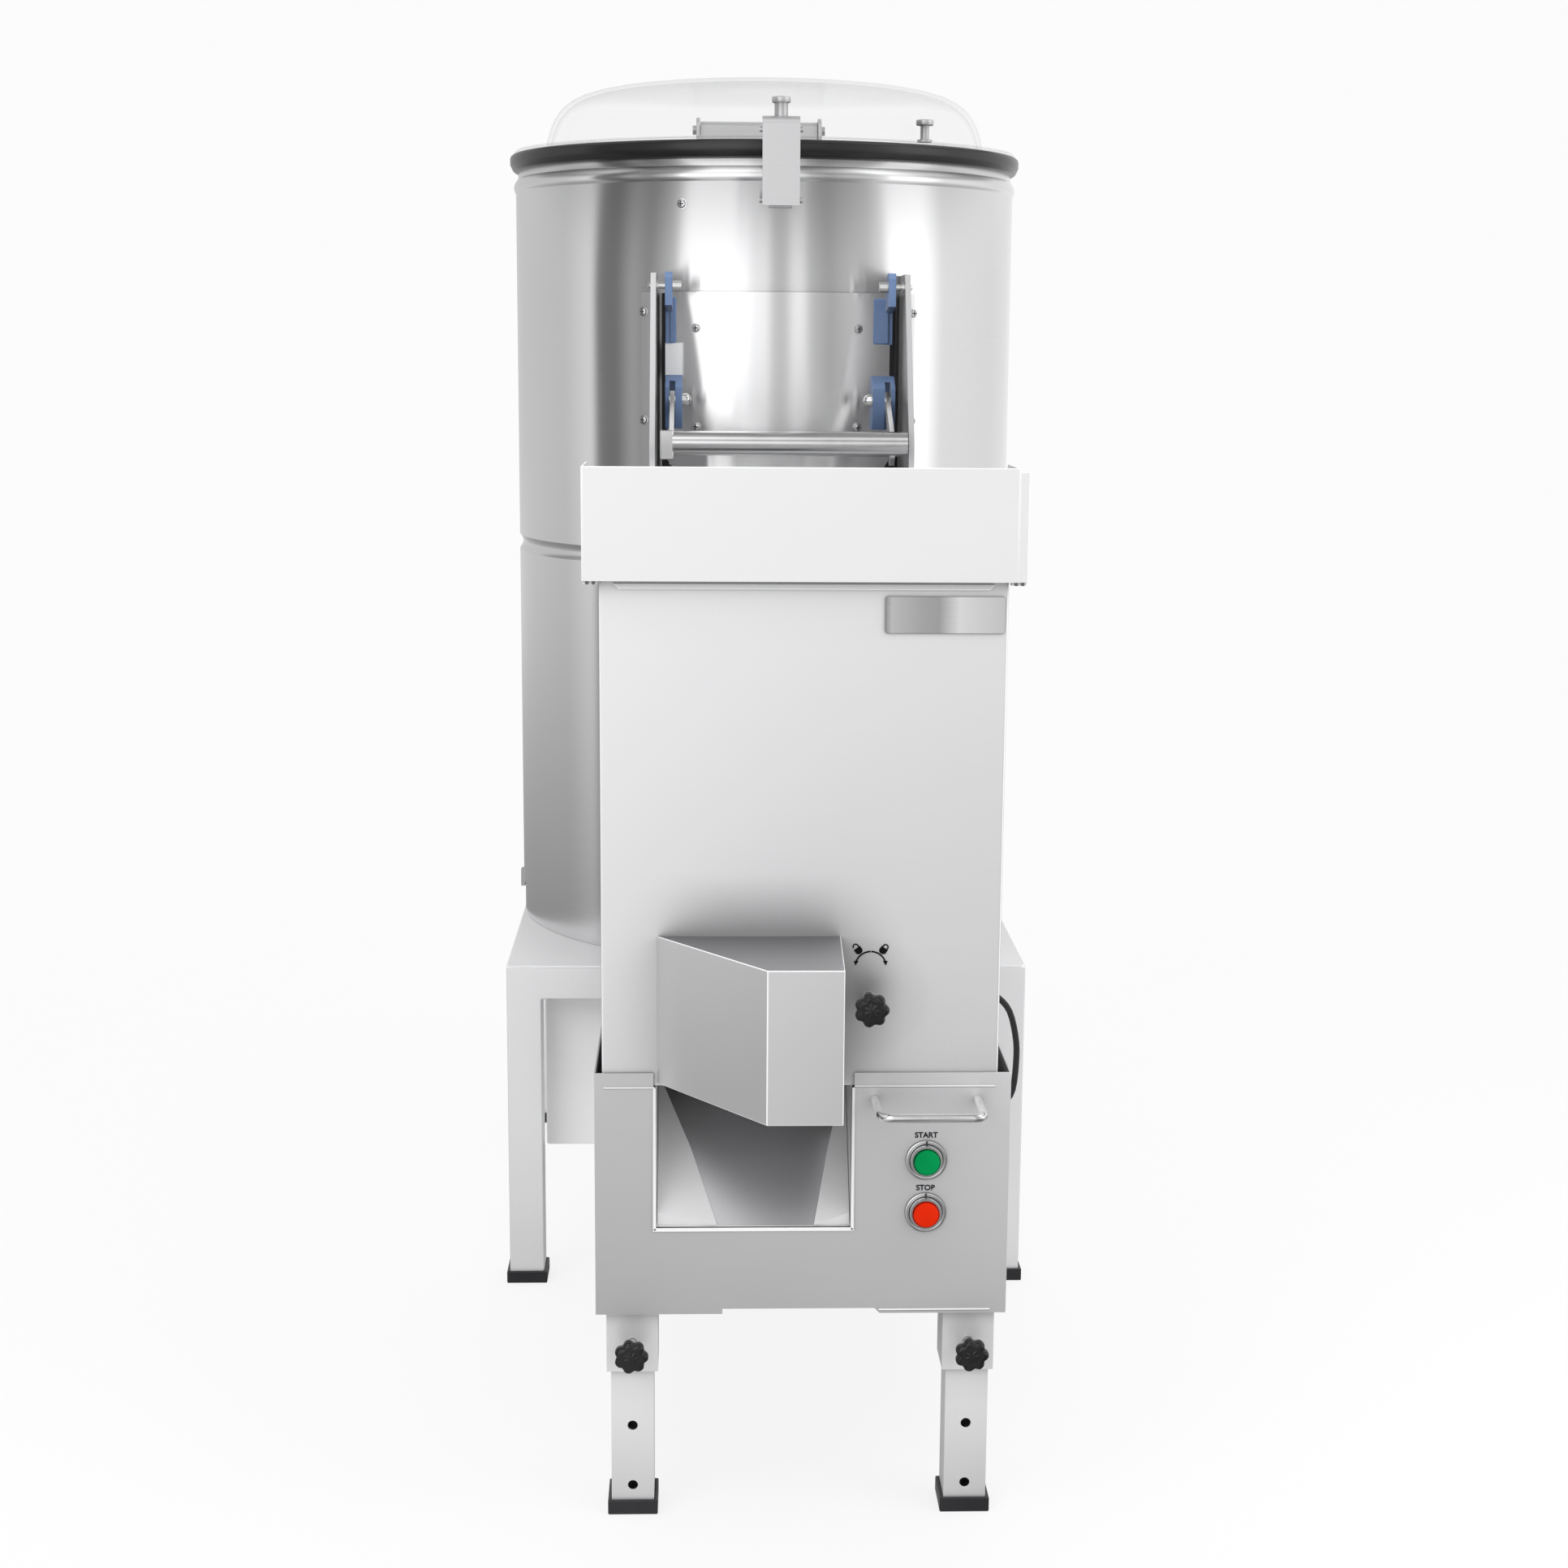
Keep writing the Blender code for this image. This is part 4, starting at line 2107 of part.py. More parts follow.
def make_switch(name, z):
    """A panel switch: stepped metal bezel outside, threaded neck and contact block behind."""
    seat = -seat_gap
    neck_end = housing_sheet + seat_gap + press_travel * 2
    outline = [
        (bezel_radius, seat),
        (bezel_radius, seat - bezel_flange),
        (bezel_collar_radius, seat - bezel_step),
        (bezel_lip_radius, seat - bezel_collar),
        (bezel_bore, seat - bezel_collar),
        (bezel_bore, seat - bezel_well),
        (cap_stem_radius + seat_gap, seat - bezel_well),
        (cap_stem_radius + seat_gap, neck_end),
        (0, neck_end),
        (0, neck_end + housing_sheet),
        (switch_neck_radius, neck_end + housing_sheet),
        (switch_neck_radius, seat),
    ]
    switch = turned(name, outline, (switch_x, housing_front_y, z), "Y", small_steps)
    half = switch_block_side / 2
    start = housing_front_y + neck_end + housing_sheet / 2
    block = box(
        name + "_block",
        (switch_x - half, start, z - half),
        (switch_x + half, start + switch_block_depth, z + half),
    )
    return join(switch, soften(block, press_travel / 2))


def make_switch_cap(name, z):
    """The button's cap on its stem; it travels into the bezel."""
    top = -cap_out
    floor = -bezel_well - press_travel - 2 * seat_gap
    outline = [
        (0, top),
        (cap_radius - cap_edge, top),
        (cap_radius, top + cap_edge),
        (cap_radius, floor),
        (cap_stem_radius, floor),
        (cap_stem_radius, housing_sheet + cap_stem_tail),
        (0, housing_sheet + cap_stem_tail),
    ]
    cap = turned(name, outline, (switch_x, housing_front_y, z), "Y", small_steps)
    return hang(cap, (switch_x, housing_front_y, z))


def make_front_leg(side, label):
    """The sliding leg: a square tube with a row of holes through its front wall."""
    x = front_leg_x(side)
    low = foot_floor + seat_gap
    leg = ring_tube(
        "front_leg_" + label, square(x, front_leg_y, front_leg_side),
        square(x, front_leg_y, front_leg_side - 2 * front_leg_wall), low, low + front_leg_length,
    )
    front = front_leg_y - front_leg_side / 2
    for index in range(leg_holes):
        z = leg_hole_rise + index * leg_hole_pitch
        cut(leg, rod(
            "leg_hole_" + label + "_" + str(index), (x, front, z), "Y", leg_hole_radius,
            -overrun, front_leg_wall + overrun / 2, pin_steps,
        ))
    return hang(leg, (x, front_leg_y, low))


def make_leg_knob(side, label):
    x = front_leg_x(side)
    sleeve_front = front_leg_y - sleeve_side / 2
    tip = (sleeve_side - front_leg_side) / 2 - seat_gap
    knob = make_knob("leg_knob_" + label, x, leg_knob_z, sleeve_front, leg_knob_reach, tip)
    return hang(knob, (x, sleeve_front, leg_knob_z))


# Link cable between cabinet and lower housing

gland_radius = 0.0078
gland_nut = 0.006
gland_neck_radius = 0.0066
gland_length = 0.014
gland_mouth = 0.0050
cable_radius = 0.0032
cable_steps = 24
cable_bulge = 0.028
cable_start_shares = ((0.0, 0.0), (0.36, -0.06), (0.86, -0.60), (1.12, -1.60), (1.16, -2.50))
cable_end_shares = ((0.62, 0.55), (0.30, 0.08), (0.0, 0.0))
cable_y_setback = 0.230
upper_gland_rise = 0.011
lower_gland_drop = 0.105

cable_y = cabinet_front_y + cable_y_setback
upper_gland_z = housing_top_z + upper_gland_rise
lower_gland_z = housing_top_z - lower_gland_drop


def make_gland(name, x, z):
    outline = [
        (0, 0),
        (gland_radius, 0),
        (gland_radius, gland_nut),
        (gland_neck_radius, gland_nut),
        (gland_mouth, gland_length),
        (0, gland_length),
    ]
    return turned(name, outline, (x + seat_gap, cable_y, z), "X", pin_steps)


def smooth_route(corners, count):
    """Points read from a smooth curve through the route's own points."""
    path = []
    pieces = len(corners) - 1
    for step in range(count + 1):
        place = step / count * pieces
        index = min(int(place), pieces - 1)
        share = place - index
        p0 = corners[max(index - 1, 0)]
        p1 = corners[index]
        p2 = corners[index + 1]
        p3 = corners[min(index + 2, pieces)]
        path.append(tuple(
            (
                2 * b + (c - a) * share + (2 * a - 5 * b + 4 * c - d) * share ** 2
                + (3 * b - a - 3 * c + d) * share ** 3
            ) / 2
            for a, b, c, d in zip(p0, p1, p2, p3)
        ))
    return path


def make_link_cable():
    """The motor lead: out of the cabinet, down past the housing's rim and back into the housing."""
    start_x = cabinet_right_x + gland_length + 2 * seat_gap
    end_x = housing_right_x + gland_length + 2 * seat_gap
    route = []
    for out_share, up_share in cable_start_shares:
        route.append((start_x + cable_bulge * out_share, cable_y, upper_gland_z + cable_bulge * up_share))
    for out_share, up_share in cable_end_shares:
        route.append((end_x + cable_bulge * out_share, cable_y, lower_gland_z + cable_bulge * up_share))
    return solid_tube("link_cable", smooth_route(route, cable_steps), cable_radius)


def build():
    clear_scene()
    half = stand_width / 2 - stand_tube / 2
    near = stand_front_y + stand_tube / 2
    far = stand_back_y - stand_tube / 2
    bright_sheet(make_stand_frame())
    for name, x, y in (
        ("stand_foot_front_left", -half, near),
        ("stand_foot_front_right", half, near),
        ("stand_foot_back_left", -half, far),
        ("stand_foot_back_right", half, far),
    ):
        black_rubber(make_foot(name, x, y, stand_tube))

    bright_sheet(make_drive_cover())
    cast_grey(make_bearing_housing())
    polished(make_disc_shaft())
    cast_grey(make_peeler_motor())
    cast_grey(make_motor_pulley())
    black_rubber(make_drive_belt())

    brushed(make_drum_base())
    brushed(make_drain_pipe())
    brushed(make_drum_shell())
    finish(make_liner(), (0.10, 0.10, 0.11), 0.9, 0.0)
    finish(make_disc(), (0.12, 0.12, 0.13), 0.9, 0.0)
    polished(make_water_inlet())

    black_rubber(make_lid_seal())
    finish(make_lid_dome(), (0.93, 0.95, 0.96), 0.05, 0.0, 40.0, 0.25)
    brushed(make_lid_bracket())
    brushed(make_lid_arm())
    brushed(make_latch_lug())
    brushed(make_latch_strap())
    brushed(make_latch_button())
    polished(make_lid_stud())

    brushed(make_discharge_spout())
    black_rubber(make_door_seal())
    brushed(make_door_plate())
    blue_plastic(make_hinge_block(-1, "left", hinge_foot_left))
    blue_plastic(make_hinge_block(1, "right", hinge_foot_right))
    polished(make_hinge_pin(-1, "left"))
    polished(make_hinge_pin(1, "right"))
    blue_plastic(make_handle_block(-1, "left", inner_ear_left))
    blue_plastic(make_handle_block(1, "right", inner_ear_right))
    polished(make_door_handle())

    bright_sheet(make_hopper_tray())
    bright_sheet(make_cabinet())
    brushed(make_feed_funnel())
    brushed(make_cutter_drum())
    cast_grey(make_cutter_rotor())
    cast_grey(make_cutter_motor())
    polished(make_blade_grid())
    brushed(make_outlet_hood())
    black_plastic(make_hood_knob())

    bright_sheet(make_lower_housing())
    brushed(make_catch_chute())
    polished(make_bow_handle())
    polished(make_switch("start_switch", start_z))
    finish(make_switch_cap("start_cap", start_z), (0.0, 0.33, 0.13), 0.3, 0.0)
    polished(make_switch("stop_switch", stop_z))
    finish(make_switch_cap("stop_cap", stop_z), (0.80, 0.05, 0.01), 0.3, 0.0)
    for side, label in ((-1, "left"), (1, "right")):
        bright_sheet(make_front_leg(side, label))
        black_rubber(make_foot("front_foot_" + label, front_leg_x(side), front_leg_y, front_leg_side))
        black_plastic(make_leg_knob(side, label))

    black_plastic(make_gland("cable_gland_upper", cabinet_right_x, upper_gland_z))
    black_plastic(make_gland("cable_gland_lower", housing_right_x, lower_gland_z))
    black_rubber(make_link_cable())


build()
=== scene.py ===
"""A floor-standing potato peeler with a cutting head in front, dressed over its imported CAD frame."""

import json
import math

import bmesh
import bpy
from mathutils import Matrix, Vector

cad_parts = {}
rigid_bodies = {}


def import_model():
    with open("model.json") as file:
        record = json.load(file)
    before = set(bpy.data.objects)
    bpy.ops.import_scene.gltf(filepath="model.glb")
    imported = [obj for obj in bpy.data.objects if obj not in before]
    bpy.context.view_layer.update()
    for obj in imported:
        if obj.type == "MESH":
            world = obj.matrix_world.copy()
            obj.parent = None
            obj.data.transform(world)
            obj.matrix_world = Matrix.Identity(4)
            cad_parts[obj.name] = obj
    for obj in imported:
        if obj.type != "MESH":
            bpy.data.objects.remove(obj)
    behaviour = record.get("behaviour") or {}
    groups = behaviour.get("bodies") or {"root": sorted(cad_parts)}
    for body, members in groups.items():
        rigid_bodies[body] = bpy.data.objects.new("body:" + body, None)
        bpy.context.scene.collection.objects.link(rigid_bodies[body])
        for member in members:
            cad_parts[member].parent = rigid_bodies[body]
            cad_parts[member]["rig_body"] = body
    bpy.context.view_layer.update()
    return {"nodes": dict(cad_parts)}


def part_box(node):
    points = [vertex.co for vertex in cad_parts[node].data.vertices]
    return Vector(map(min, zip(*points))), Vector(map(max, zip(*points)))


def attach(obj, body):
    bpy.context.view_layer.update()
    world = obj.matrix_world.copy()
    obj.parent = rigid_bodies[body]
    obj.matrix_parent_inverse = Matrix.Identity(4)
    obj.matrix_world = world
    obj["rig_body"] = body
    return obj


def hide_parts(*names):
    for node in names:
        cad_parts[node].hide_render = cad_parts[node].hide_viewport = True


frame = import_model()
nodes = frame["nodes"]

# The photograph's viewpoint: a camera at the height of the discharge door, a little left of
# the machine's middle, looking slightly down over the cutting head.

camera_place = Vector((-0.0727, -2.70365, 1.0896))
camera_pitch = math.radians(10.2325)
camera_yaw = math.radians(1.9124)
camera_roll = math.radians(0.4079)


def placed(name, data):
    """An object of this data, linked into the scene."""
    made = bpy.data.objects.new(name, data)
    bpy.context.scene.collection.objects.link(made)
    return made


lens = bpy.data.cameras.new("viewpoint")
lens.lens = 55.9
lens.sensor_width = 36.0
lens.clip_end = 60.0
viewpoint = placed("viewpoint", lens)
viewpoint.matrix_world = (
    Matrix.Translation(camera_place) @ Matrix.Rotation(-camera_yaw, 4, "Z")
    @ Matrix.Rotation(math.pi / 2 - camera_pitch, 4, "X") @ Matrix.Rotation(camera_roll, 4, "Z")
)
bpy.context.scene.camera = viewpoint
bpy.context.scene.view_settings.view_transform = "Standard"


# The studio: a white cove that the camera and clear plastic see as plain white. Polished steel
# sees bright panels and darker gaps round the machine, which give the drum its upright bands.

class Wire:
    """An output socket of a node; sums and products of wires add their Math nodes."""

    def __init__(self, tree, socket):
        self.tree = tree
        self.socket = socket

    def worked(self, operation, first, second):
        node = self.tree.nodes.new("ShaderNodeMath")
        node.operation = operation
        for entry, value in zip(node.inputs, (first, second)):
            if isinstance(value, Wire):
                self.tree.links.new(value.socket, entry)
            else:
                entry.default_value = value
        return Wire(self.tree, node.outputs[0])

    def __add__(self, other):
        return self.worked("ADD", self, other)

    def __radd__(self, other):
        return self.worked("ADD", other, self)

    def __sub__(self, other):
        return self.worked("SUBTRACT", self, other)

    def __rsub__(self, other):
        return self.worked("SUBTRACT", other, self)

    def __mul__(self, other):
        return self.worked("MULTIPLY", self, other)

    def __rmul__(self, other):
        return self.worked("MULTIPLY", other, self)

    def __truediv__(self, other):
        return self.worked("DIVIDE", self, other)

    def __rtruediv__(self, other):
        return self.worked("DIVIDE", other, self)


class Finish:
    """A material's node tree. node() takes a node's type, its sockets, then its settings."""

    def __init__(self, name, tree=None):
        self.material = None
        if tree is None:
            self.material = bpy.data.materials.new(name)
            self.material.use_nodes = True
            tree = self.material.node_tree
        tree.nodes.clear()
        self.tree = tree

    def node(self, kind, sockets=(), settings=(), out=0):
        made = self.tree.nodes.new("ShaderNode" + kind)
        for key, value in dict(settings).items():
            if key == "stops":
                self.set_stops(made.color_ramp, value)
            else:
                setattr(made, key, value)
        for key, value in dict(sockets).items():
            if isinstance(value, Wire):
                self.tree.links.new(value.socket, made.inputs[key])
            else:
                made.inputs[key].default_value = value
        return Wire(self.tree, made.outputs[out]) if made.outputs else None

    def outputs(self, kind, sockets, labels):
        made = self.node(kind, sockets).socket.node
        return [Wire(self.tree, made.outputs[label]) for label in labels]

    def set_stops(self, ramp, stops):
        while len(ramp.elements) > 1:
            ramp.elements.remove(ramp.elements[-1])
        for count, (place, colour) in enumerate(stops):
            stop = ramp.elements[0] if count == 0 else ramp.elements.new(place)
            stop.position = place
            stop.color = (colour, colour, colour, 1)

    def place(self):
        return self.node("TexCoord", out="Object")

    def noise(self, place, scale, detail=2.0, roughness=0.5):
        return self.node("TexNoise", {
            "Vector": place, "Scale": scale, "Detail": detail, "Roughness": roughness,
        })

    def bumps(self, height, strength, distance):
        return self.node("Bump", {"Height": height, "Strength": strength, "Distance": distance})

    def mixed(self, share, first, second):
        sockets = {0: share, 6: (*first, 1), 7: (*second, 1)}
        return self.node("Mix", sockets, {"data_type": "RGBA"}, 2)

    def surface(self, sockets):
        self.node("OutputMaterial", {"Surface": self.node("BsdfPrincipled", sockets)})
        return self.material


white = 0.973
panels = (
    (-180, 0.6), (-105, 0.58), (-87, 0.78), (-83, 0.17), (-72, 0.18), (-64, 0.4), (-55, 0.27),
    (-42, 0.66), (-39, 1.45), (-10, 1.45), (-6, 1.1), (0, 1.05), (3, 0.6), (8, 0.56),
    (12, 1.0), (16, 1.0), (19, 0.58), (28, 0.42), (36, 0.55), (48, 0.66), (55, 0.85), (58, 1.45),
    (77, 1.45), (88, 0.88), (130, 0.78), (165, 0.85), (180, 0.6),
)
panel_scale = 1.45
ceiling = ((0.0, 1.0), (0.36, 1.0), (0.44, 0.45), (0.56, 0.45), (0.64, 1.0), (0.86, 1.0), (0.94, 0.35))
fill_light = 0.8


def panel_ring(finish, direction):
    """The brightness of the studio's walls by the compass direction seen from the machine."""
    across, away = finish.outputs("SeparateXYZ", {0: direction}, (0, 1))
    compass = finish.node("Math", {0: across, 1: away * -1.0}, {"operation": "ARCTAN2"})
    stops = [(degrees / 360 + 0.5, shade / panel_scale) for degrees, shade in panels]
    return finish.node("ValToRGB", {0: compass / math.tau + 0.5}, {"stops": stops}) * panel_scale


world = bpy.data.worlds.new("studio")
bpy.context.scene.world = world
world.use_nodes = True
studio = Finish("studio", world.node_tree)
heading = studio.node("TexCoord", out="Generated")
height = studio.node("SeparateXYZ", {0: heading}, out=2)
ring = panel_ring(studio, heading) * studio.node("ValToRGB", {0: height}, {"stops": ceiling})
is_camera, is_glossy, is_transmission = studio.outputs(
    "LightPath", {}, ("Is Camera Ray", "Is Glossy Ray", "Is Transmission Ray")
)
seen_white = is_camera + is_transmission - is_camera * is_transmission
shade = is_glossy * ring + (1 - is_glossy) * fill_light
brightness = seen_white * white + (1 - seen_white) * shade
studio.node("OutputWorld", {
    "Surface": studio.node("Background", {"Color": brightness}),
})

floor_half = 12.0
near_distance, far_distance = 0.7, 7.0
near_shade, far_shade = 0.3, 1.08
floor_fill, floor_grey = 0.8, 0.9
shadow_near, shadow_far, shadow_depth = 0.8, 2.2, 0.16

floor_mesh = bpy.data.meshes.new("floor")
floor_mesh.from_pydata(
    [(x * floor_half, y * floor_half, 0) for x, y in ((-1, -1), (1, -1), (1, 1), (-1, 1))],
    [], [(0, 1, 2, 3)],
)
floor = placed("floor", floor_mesh)
cove = Finish("cove_floor")
ground = cove.place()
distance = cove.node("VectorMath", {0: ground}, {"operation": "LENGTH"}, "Value")
fade = cove.node("MapRange", {
    "Value": distance, "From Min": near_distance, "From Max": far_distance,
    "To Min": near_shade, "To Max": far_shade,
})
is_camera, is_diffuse = cove.outputs("LightPath", {}, ("Is Camera Ray", "Is Diffuse Ray"))
reflected = panel_ring(cove, ground) * fade
mirrored = cove.node("Emission", {"Color": is_diffuse * floor_fill + (1 - is_diffuse) * reflected})
lit = cove.node("BsdfDiffuse", {"Color": (floor_grey, floor_grey, floor_grey, 1)})
plain = cove.node("Emission", {"Color": (white, white, white, 1)})
shadow_share = cove.node("MapRange", {
    "Value": distance, "From Min": shadow_near, "From Max": shadow_far,
    "To Min": shadow_depth, "To Max": 0.0,
}, {"interpolation_type": "SMOOTHSTEP"})
seen = cove.node("MixShader", {0: shadow_share, 1: plain, 2: lit})
cove.node("OutputMaterial", {
    "Surface": cove.node("MixShader", {0: is_camera, 1: mirrored, 2: seen}),
})
floor.data.materials.append(cove.material)

lamp_target = Vector((0, 0, 0.7))
for label, place, side, power in (
    ("key_panel", (-1.8, -2.4, 2.6), 2.0, 33.0),
    ("side_panel", (2.4, -1.6, 2.0), 2.0, 33.0),
    ("top_panel", (0.0, 0.3, 3.2), 2.4, 30.0),
):
    panel = bpy.data.lights.new(label, "AREA")
    panel.size = side
    panel.energy = power
    lamp = placed(label, panel)
    lamp.location = place
    lamp.rotation_euler = (lamp_target - Vector(place)).to_track_quat("-Z", "Y").to_euler()
    lamp.visible_glossy = False
    lamp.visible_camera = False


# The stand: hollow square tube welded under a folded top sheet, all stainless and ground along
# its length, on four black rubber feet. The sheet's folds and the tube's corners are rounded.

def brushed_steel(name, grain, tone, roughness, metal=1.0, streaks=0.05, clouds=0.05, round_y=None,
                  spread=0.12, drawn_out=0.0, painted_corner_shade=0.35, reach=0.11, painted_light_fades=(), blue=0.01):
    """Ground stainless sheet: fine streaks along the grain axis and faint clouds in the polish.

    tone is its grey, with a trace more blue. drawn_out stretches its reflections upright, across
    a grain that runs level; painted_corner_shade is how much painted shade darkens the colour where
    other sheet stands closer than reach. Each of the painted_light_fades is an axis, two places on it
    and the share of tone at either, a painted gradient of light and shade along that axis.
    """
    across_grain, along_grain, wrap_radius = 650.0, 9.0, 0.3
    steel = Finish(name)
    place = steel.place()
    if round_y is not None:
        x, y, z = steel.outputs("SeparateXYZ", {0: place}, (0, 1, 2))
        turn = steel.node("Math", {0: x, 1: y - round_y}, {"operation": "ARCTAN2"})
        place = steel.node("CombineXYZ", {"X": turn * wrap_radius, "Y": 0.0, "Z": z})
    scale = [across_grain, across_grain, across_grain]
    scale[grain] = along_grain
    streak = steel.noise(steel.node("Mapping", {"Vector": place, "Scale": scale}), 1.0, 3.0, 0.65)
    cloud = steel.noise(place, 6.0)
    change = (streak - 0.5) * streaks + (cloud - 0.5) * clouds
    # Painted shade: the colour darkens where ambient occlusion finds other sheet within reach, squared and
    # scaled by the share given.
    open_share = steel.node("AmbientOcclusion", {"Distance": reach}, {"samples": 16}, "AO")
    shade = open_share * open_share * painted_corner_shade + (1 - painted_corner_shade)
    # Painted light and shade: each fade scales the colour from one share to another along one axis.
    for axis, start, end, start_share, end_share in painted_light_fades:
        shade = shade * steel.node("MapRange", {
            "Value": steel.node("SeparateXYZ", {0: place}, out=axis),
            "From Min": start, "From Max": end, "To Min": start_share, "To Max": end_share,
        })
    return steel.surface({
        "Base Color": steel.node("CombineColor", {
            channel: (change + part) * shade for channel, part in enumerate((tone, tone, tone + blue))
        }),
        "Roughness": (streak - 0.5) * spread + (cloud - 0.5) * (spread * 0.6) + roughness,
        "Metallic": metal, "Normal": steel.bumps(streak, 0.01, 0.0003),
        "Anisotropic": drawn_out, "Anisotropic Rotation": 0.25,
    })


def moulded(name, colour, roughness, relief=0.05, grain_size=900.0, shine=0.5):
    """Moulded polymer or rubber: a fine grain in its gloss and faint clouds in its colour."""
    paint = Finish(name)
    place = paint.place()
    grain = paint.noise(place, grain_size)
    lighter = [min(1.0, part * 1.4 + 0.003) for part in colour]
    return paint.surface({
        "Base Color": paint.mixed(paint.noise(place, 35.0), colour, lighter),
        "Roughness": (grain - 0.5) * 0.15 + roughness,
        "Normal": paint.bumps(grain, relief, 0.0003), "Specular IOR Level": shine,
    })


def put(piece, finish, slot, *replaced, body="machine"):
    """The piece takes its material or materials and rides on the body of the nodes it stands for."""
    for material in finish if isinstance(finish, tuple) else (finish,):
        piece.data.materials.append(material)
    if replaced:
        body = nodes[replaced[0]]["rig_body"]
    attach(piece, body)
    if replaced:
        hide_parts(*replaced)
    return piece


def rounded(piece, width, segments=2, degrees=30, even=False):
    """Edges sharper than so many degrees are rounded over, if asked with the flats kept even."""
    round_over = piece.modifiers.new("edges", "BEVEL")
    round_over.width = width
    round_over.segments = segments
    round_over.limit_method = "ANGLE"
    round_over.angle_limit = math.radians(degrees)
    if even:
        piece.modifiers.new("flat faces", "WEIGHTED_NORMAL").keep_sharp = True
    return round_over


def softened(node_name, material, slot, edge=0.0, degrees=30, fold=None):
    """A copy of a CAD piece with its folds and edges rounded, shown in place of that piece.

    fold is the material of the rounded edges: near-white, it paints a highlight along them.
    """
    work = bmesh.new()
    work.from_mesh(nodes[node_name].data)
    bmesh.ops.remove_doubles(work, verts=work.verts, dist=0.00002)
    bmesh.ops.dissolve_limit(work, angle_limit=math.radians(1), verts=work.verts, edges=work.edges)
    mesh = bpy.data.meshes.new(node_name + "_skin")
    work.to_mesh(mesh)
    work.free()
    mesh.shade_smooth()
    piece = placed(node_name + "_skin", mesh)
    put(piece, material, slot, node_name)
    if not edge:
        mesh.set_sharp_from_angle(angle=math.radians(35))
        return piece
    round_over = rounded(piece, edge, degrees=degrees, even=True)
    if fold:
        mesh.materials.append(fold)
        round_over.material = 1
    return piece


def grid_faces(rows, columns, start=0, closed=True):
    """The faces between rows of points, counted from start; closed rows meet their first point."""
    return [
        (low + step, low + (step + 1) % columns, low + columns + (step + 1) % columns, low + columns + step)
        for low in range(start, start + rows * columns, columns)
        for step in range(columns if closed else columns - 1)
    ]


class Stock:
    """Points and faces of one piece while it is made. A tone picks one of its materials."""

    box_faces = [(0, 2, 3, 1), (4, 5, 7, 6), (0, 1, 5, 4), (2, 6, 7, 3), (0, 4, 6, 2), (1, 3, 7, 5)]

    def __init__(self):
        self.points = []
        self.faces = []
        self.tones = []

    def add(self, points, faces, tone=0):
        start = len(self.points)
        self.points += [tuple(point) for point in points]
        self.faces += [tuple(start + corner for corner in face) for face in faces]
        self.tones += [tone] * len(faces)

    def turned(self, profile, place, facing, steps=48, tone=0, lobes=0, lobe_depth=0.0):
        """A profile of radius and height, spun about facing; lobes swell its radius in waves."""
        turn = Vector(facing).to_track_quat("Z", "Y").to_matrix()
        points = []
        for radius, height in profile:
            for step in range(steps):
                angle = math.tau * step / steps
                reach = radius
                if lobes and radius > lobe_depth:
                    reach = radius - lobe_depth * (0.5 - 0.5 * math.cos(lobes * angle)) ** 1.5 * 2
                spot = Vector((reach * math.cos(angle), reach * math.sin(angle), height))
                points.append(Vector(place) + turn @ spot)
        self.add(points, grid_faces(len(profile) - 1, steps), tone)

    def block(self, low, high, tone=0):
        self.add([(x, y, z) for z in (low[2], high[2]) for y in (low[1], high[1])
                  for x in (low[0], high[0])], self.box_faces, tone)

    def plate(self, outline, low, high, across=1):
        """A flat outline on two axes, standing between two places on the axis across it."""
        count = len(outline)
        self.add(
            [(*spot[:across], place, *spot[across:]) for place in (low, high) for spot in outline],
            [tuple(range(count)), tuple(range(2 * count - 1, count - 1, -1))] + [
                (step, step + count, (step + 1) % count + count, (step + 1) % count)
                for step in range(count)
            ],
        )

    def piece(self, name, smooth=35, edge=0.0):
        mesh = bpy.data.meshes.new(name)
        mesh.from_pydata(self.points, [], self.faces)
        mesh.polygons.foreach_set("material_index", self.tones)
        work = bmesh.new()
        work.from_mesh(mesh)
        bmesh.ops.remove_doubles(work, verts=work.verts, dist=0.000001)
        bmesh.ops.recalc_face_normals(work, faces=work.faces)
        work.to_mesh(mesh)
        work.free()
        mesh.shade_smooth()
        mesh.set_sharp_from_angle(angle=math.radians(smooth))
        made = placed(name, mesh)
        if edge:
            rounded(made, edge)
        return made


stand_steel = brushed_steel("stand_sheet", 2, 0.95, 0.4, 0.3, 0.03, 0.02, spread=0.05, painted_corner_shade=0.1)
rubber = moulded("rubber_feet", (0.018, 0.018, 0.02), 0.3)
# Near-white sheet for rounded folds, rims and hems: a painted highlight along the edges.
fold_painted_highlight = brushed_steel("fold_painted_highlight", 2, 0.97, 0.35, 0.0, 0.02, 0.02, blue=0.0)
softened("stand_frame", stand_steel, "sheet", 0.0015, 50, fold_painted_highlight)


def rubber_cup(node_name):
    """A straight-sided rubber cap over a leg's end, low enough to leave the tube's lower hole free."""
    side, height, socket, floor_top, edge = 0.047, 0.0145, 0.0406, 0.006, 0.0013
    low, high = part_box(node_name)
    middle = (low + high) / 2
    cup = Stock()
    cup.add([
        (middle.x + x * width / 2, middle.y + y * width / 2, low.z + rise)
        for width, rise in ((side, 0.0), (side, height), (socket, height), (socket, floor_top))
        for x, y in ((-1, -1), (1, -1), (1, 1), (-1, 1))
    ], grid_faces(3, 4) + [(3, 2, 1, 0), (12, 13, 14, 15)])
    piece = put(cup.piece(node_name + "_cup", 180), rubber, "rubber", node_name)
    rounded(piece, edge, 3, even=True)


for foot in ("front_left", "front_right", "back_left", "back_right"):
    rubber_cup("stand_foot_" + foot)


# The drive hangs under the stand's top: a finned flange motor, its small pulley, the belt and the
# big pulley on the disc's shaft in its cast bearing, behind a cover of folded sheet.

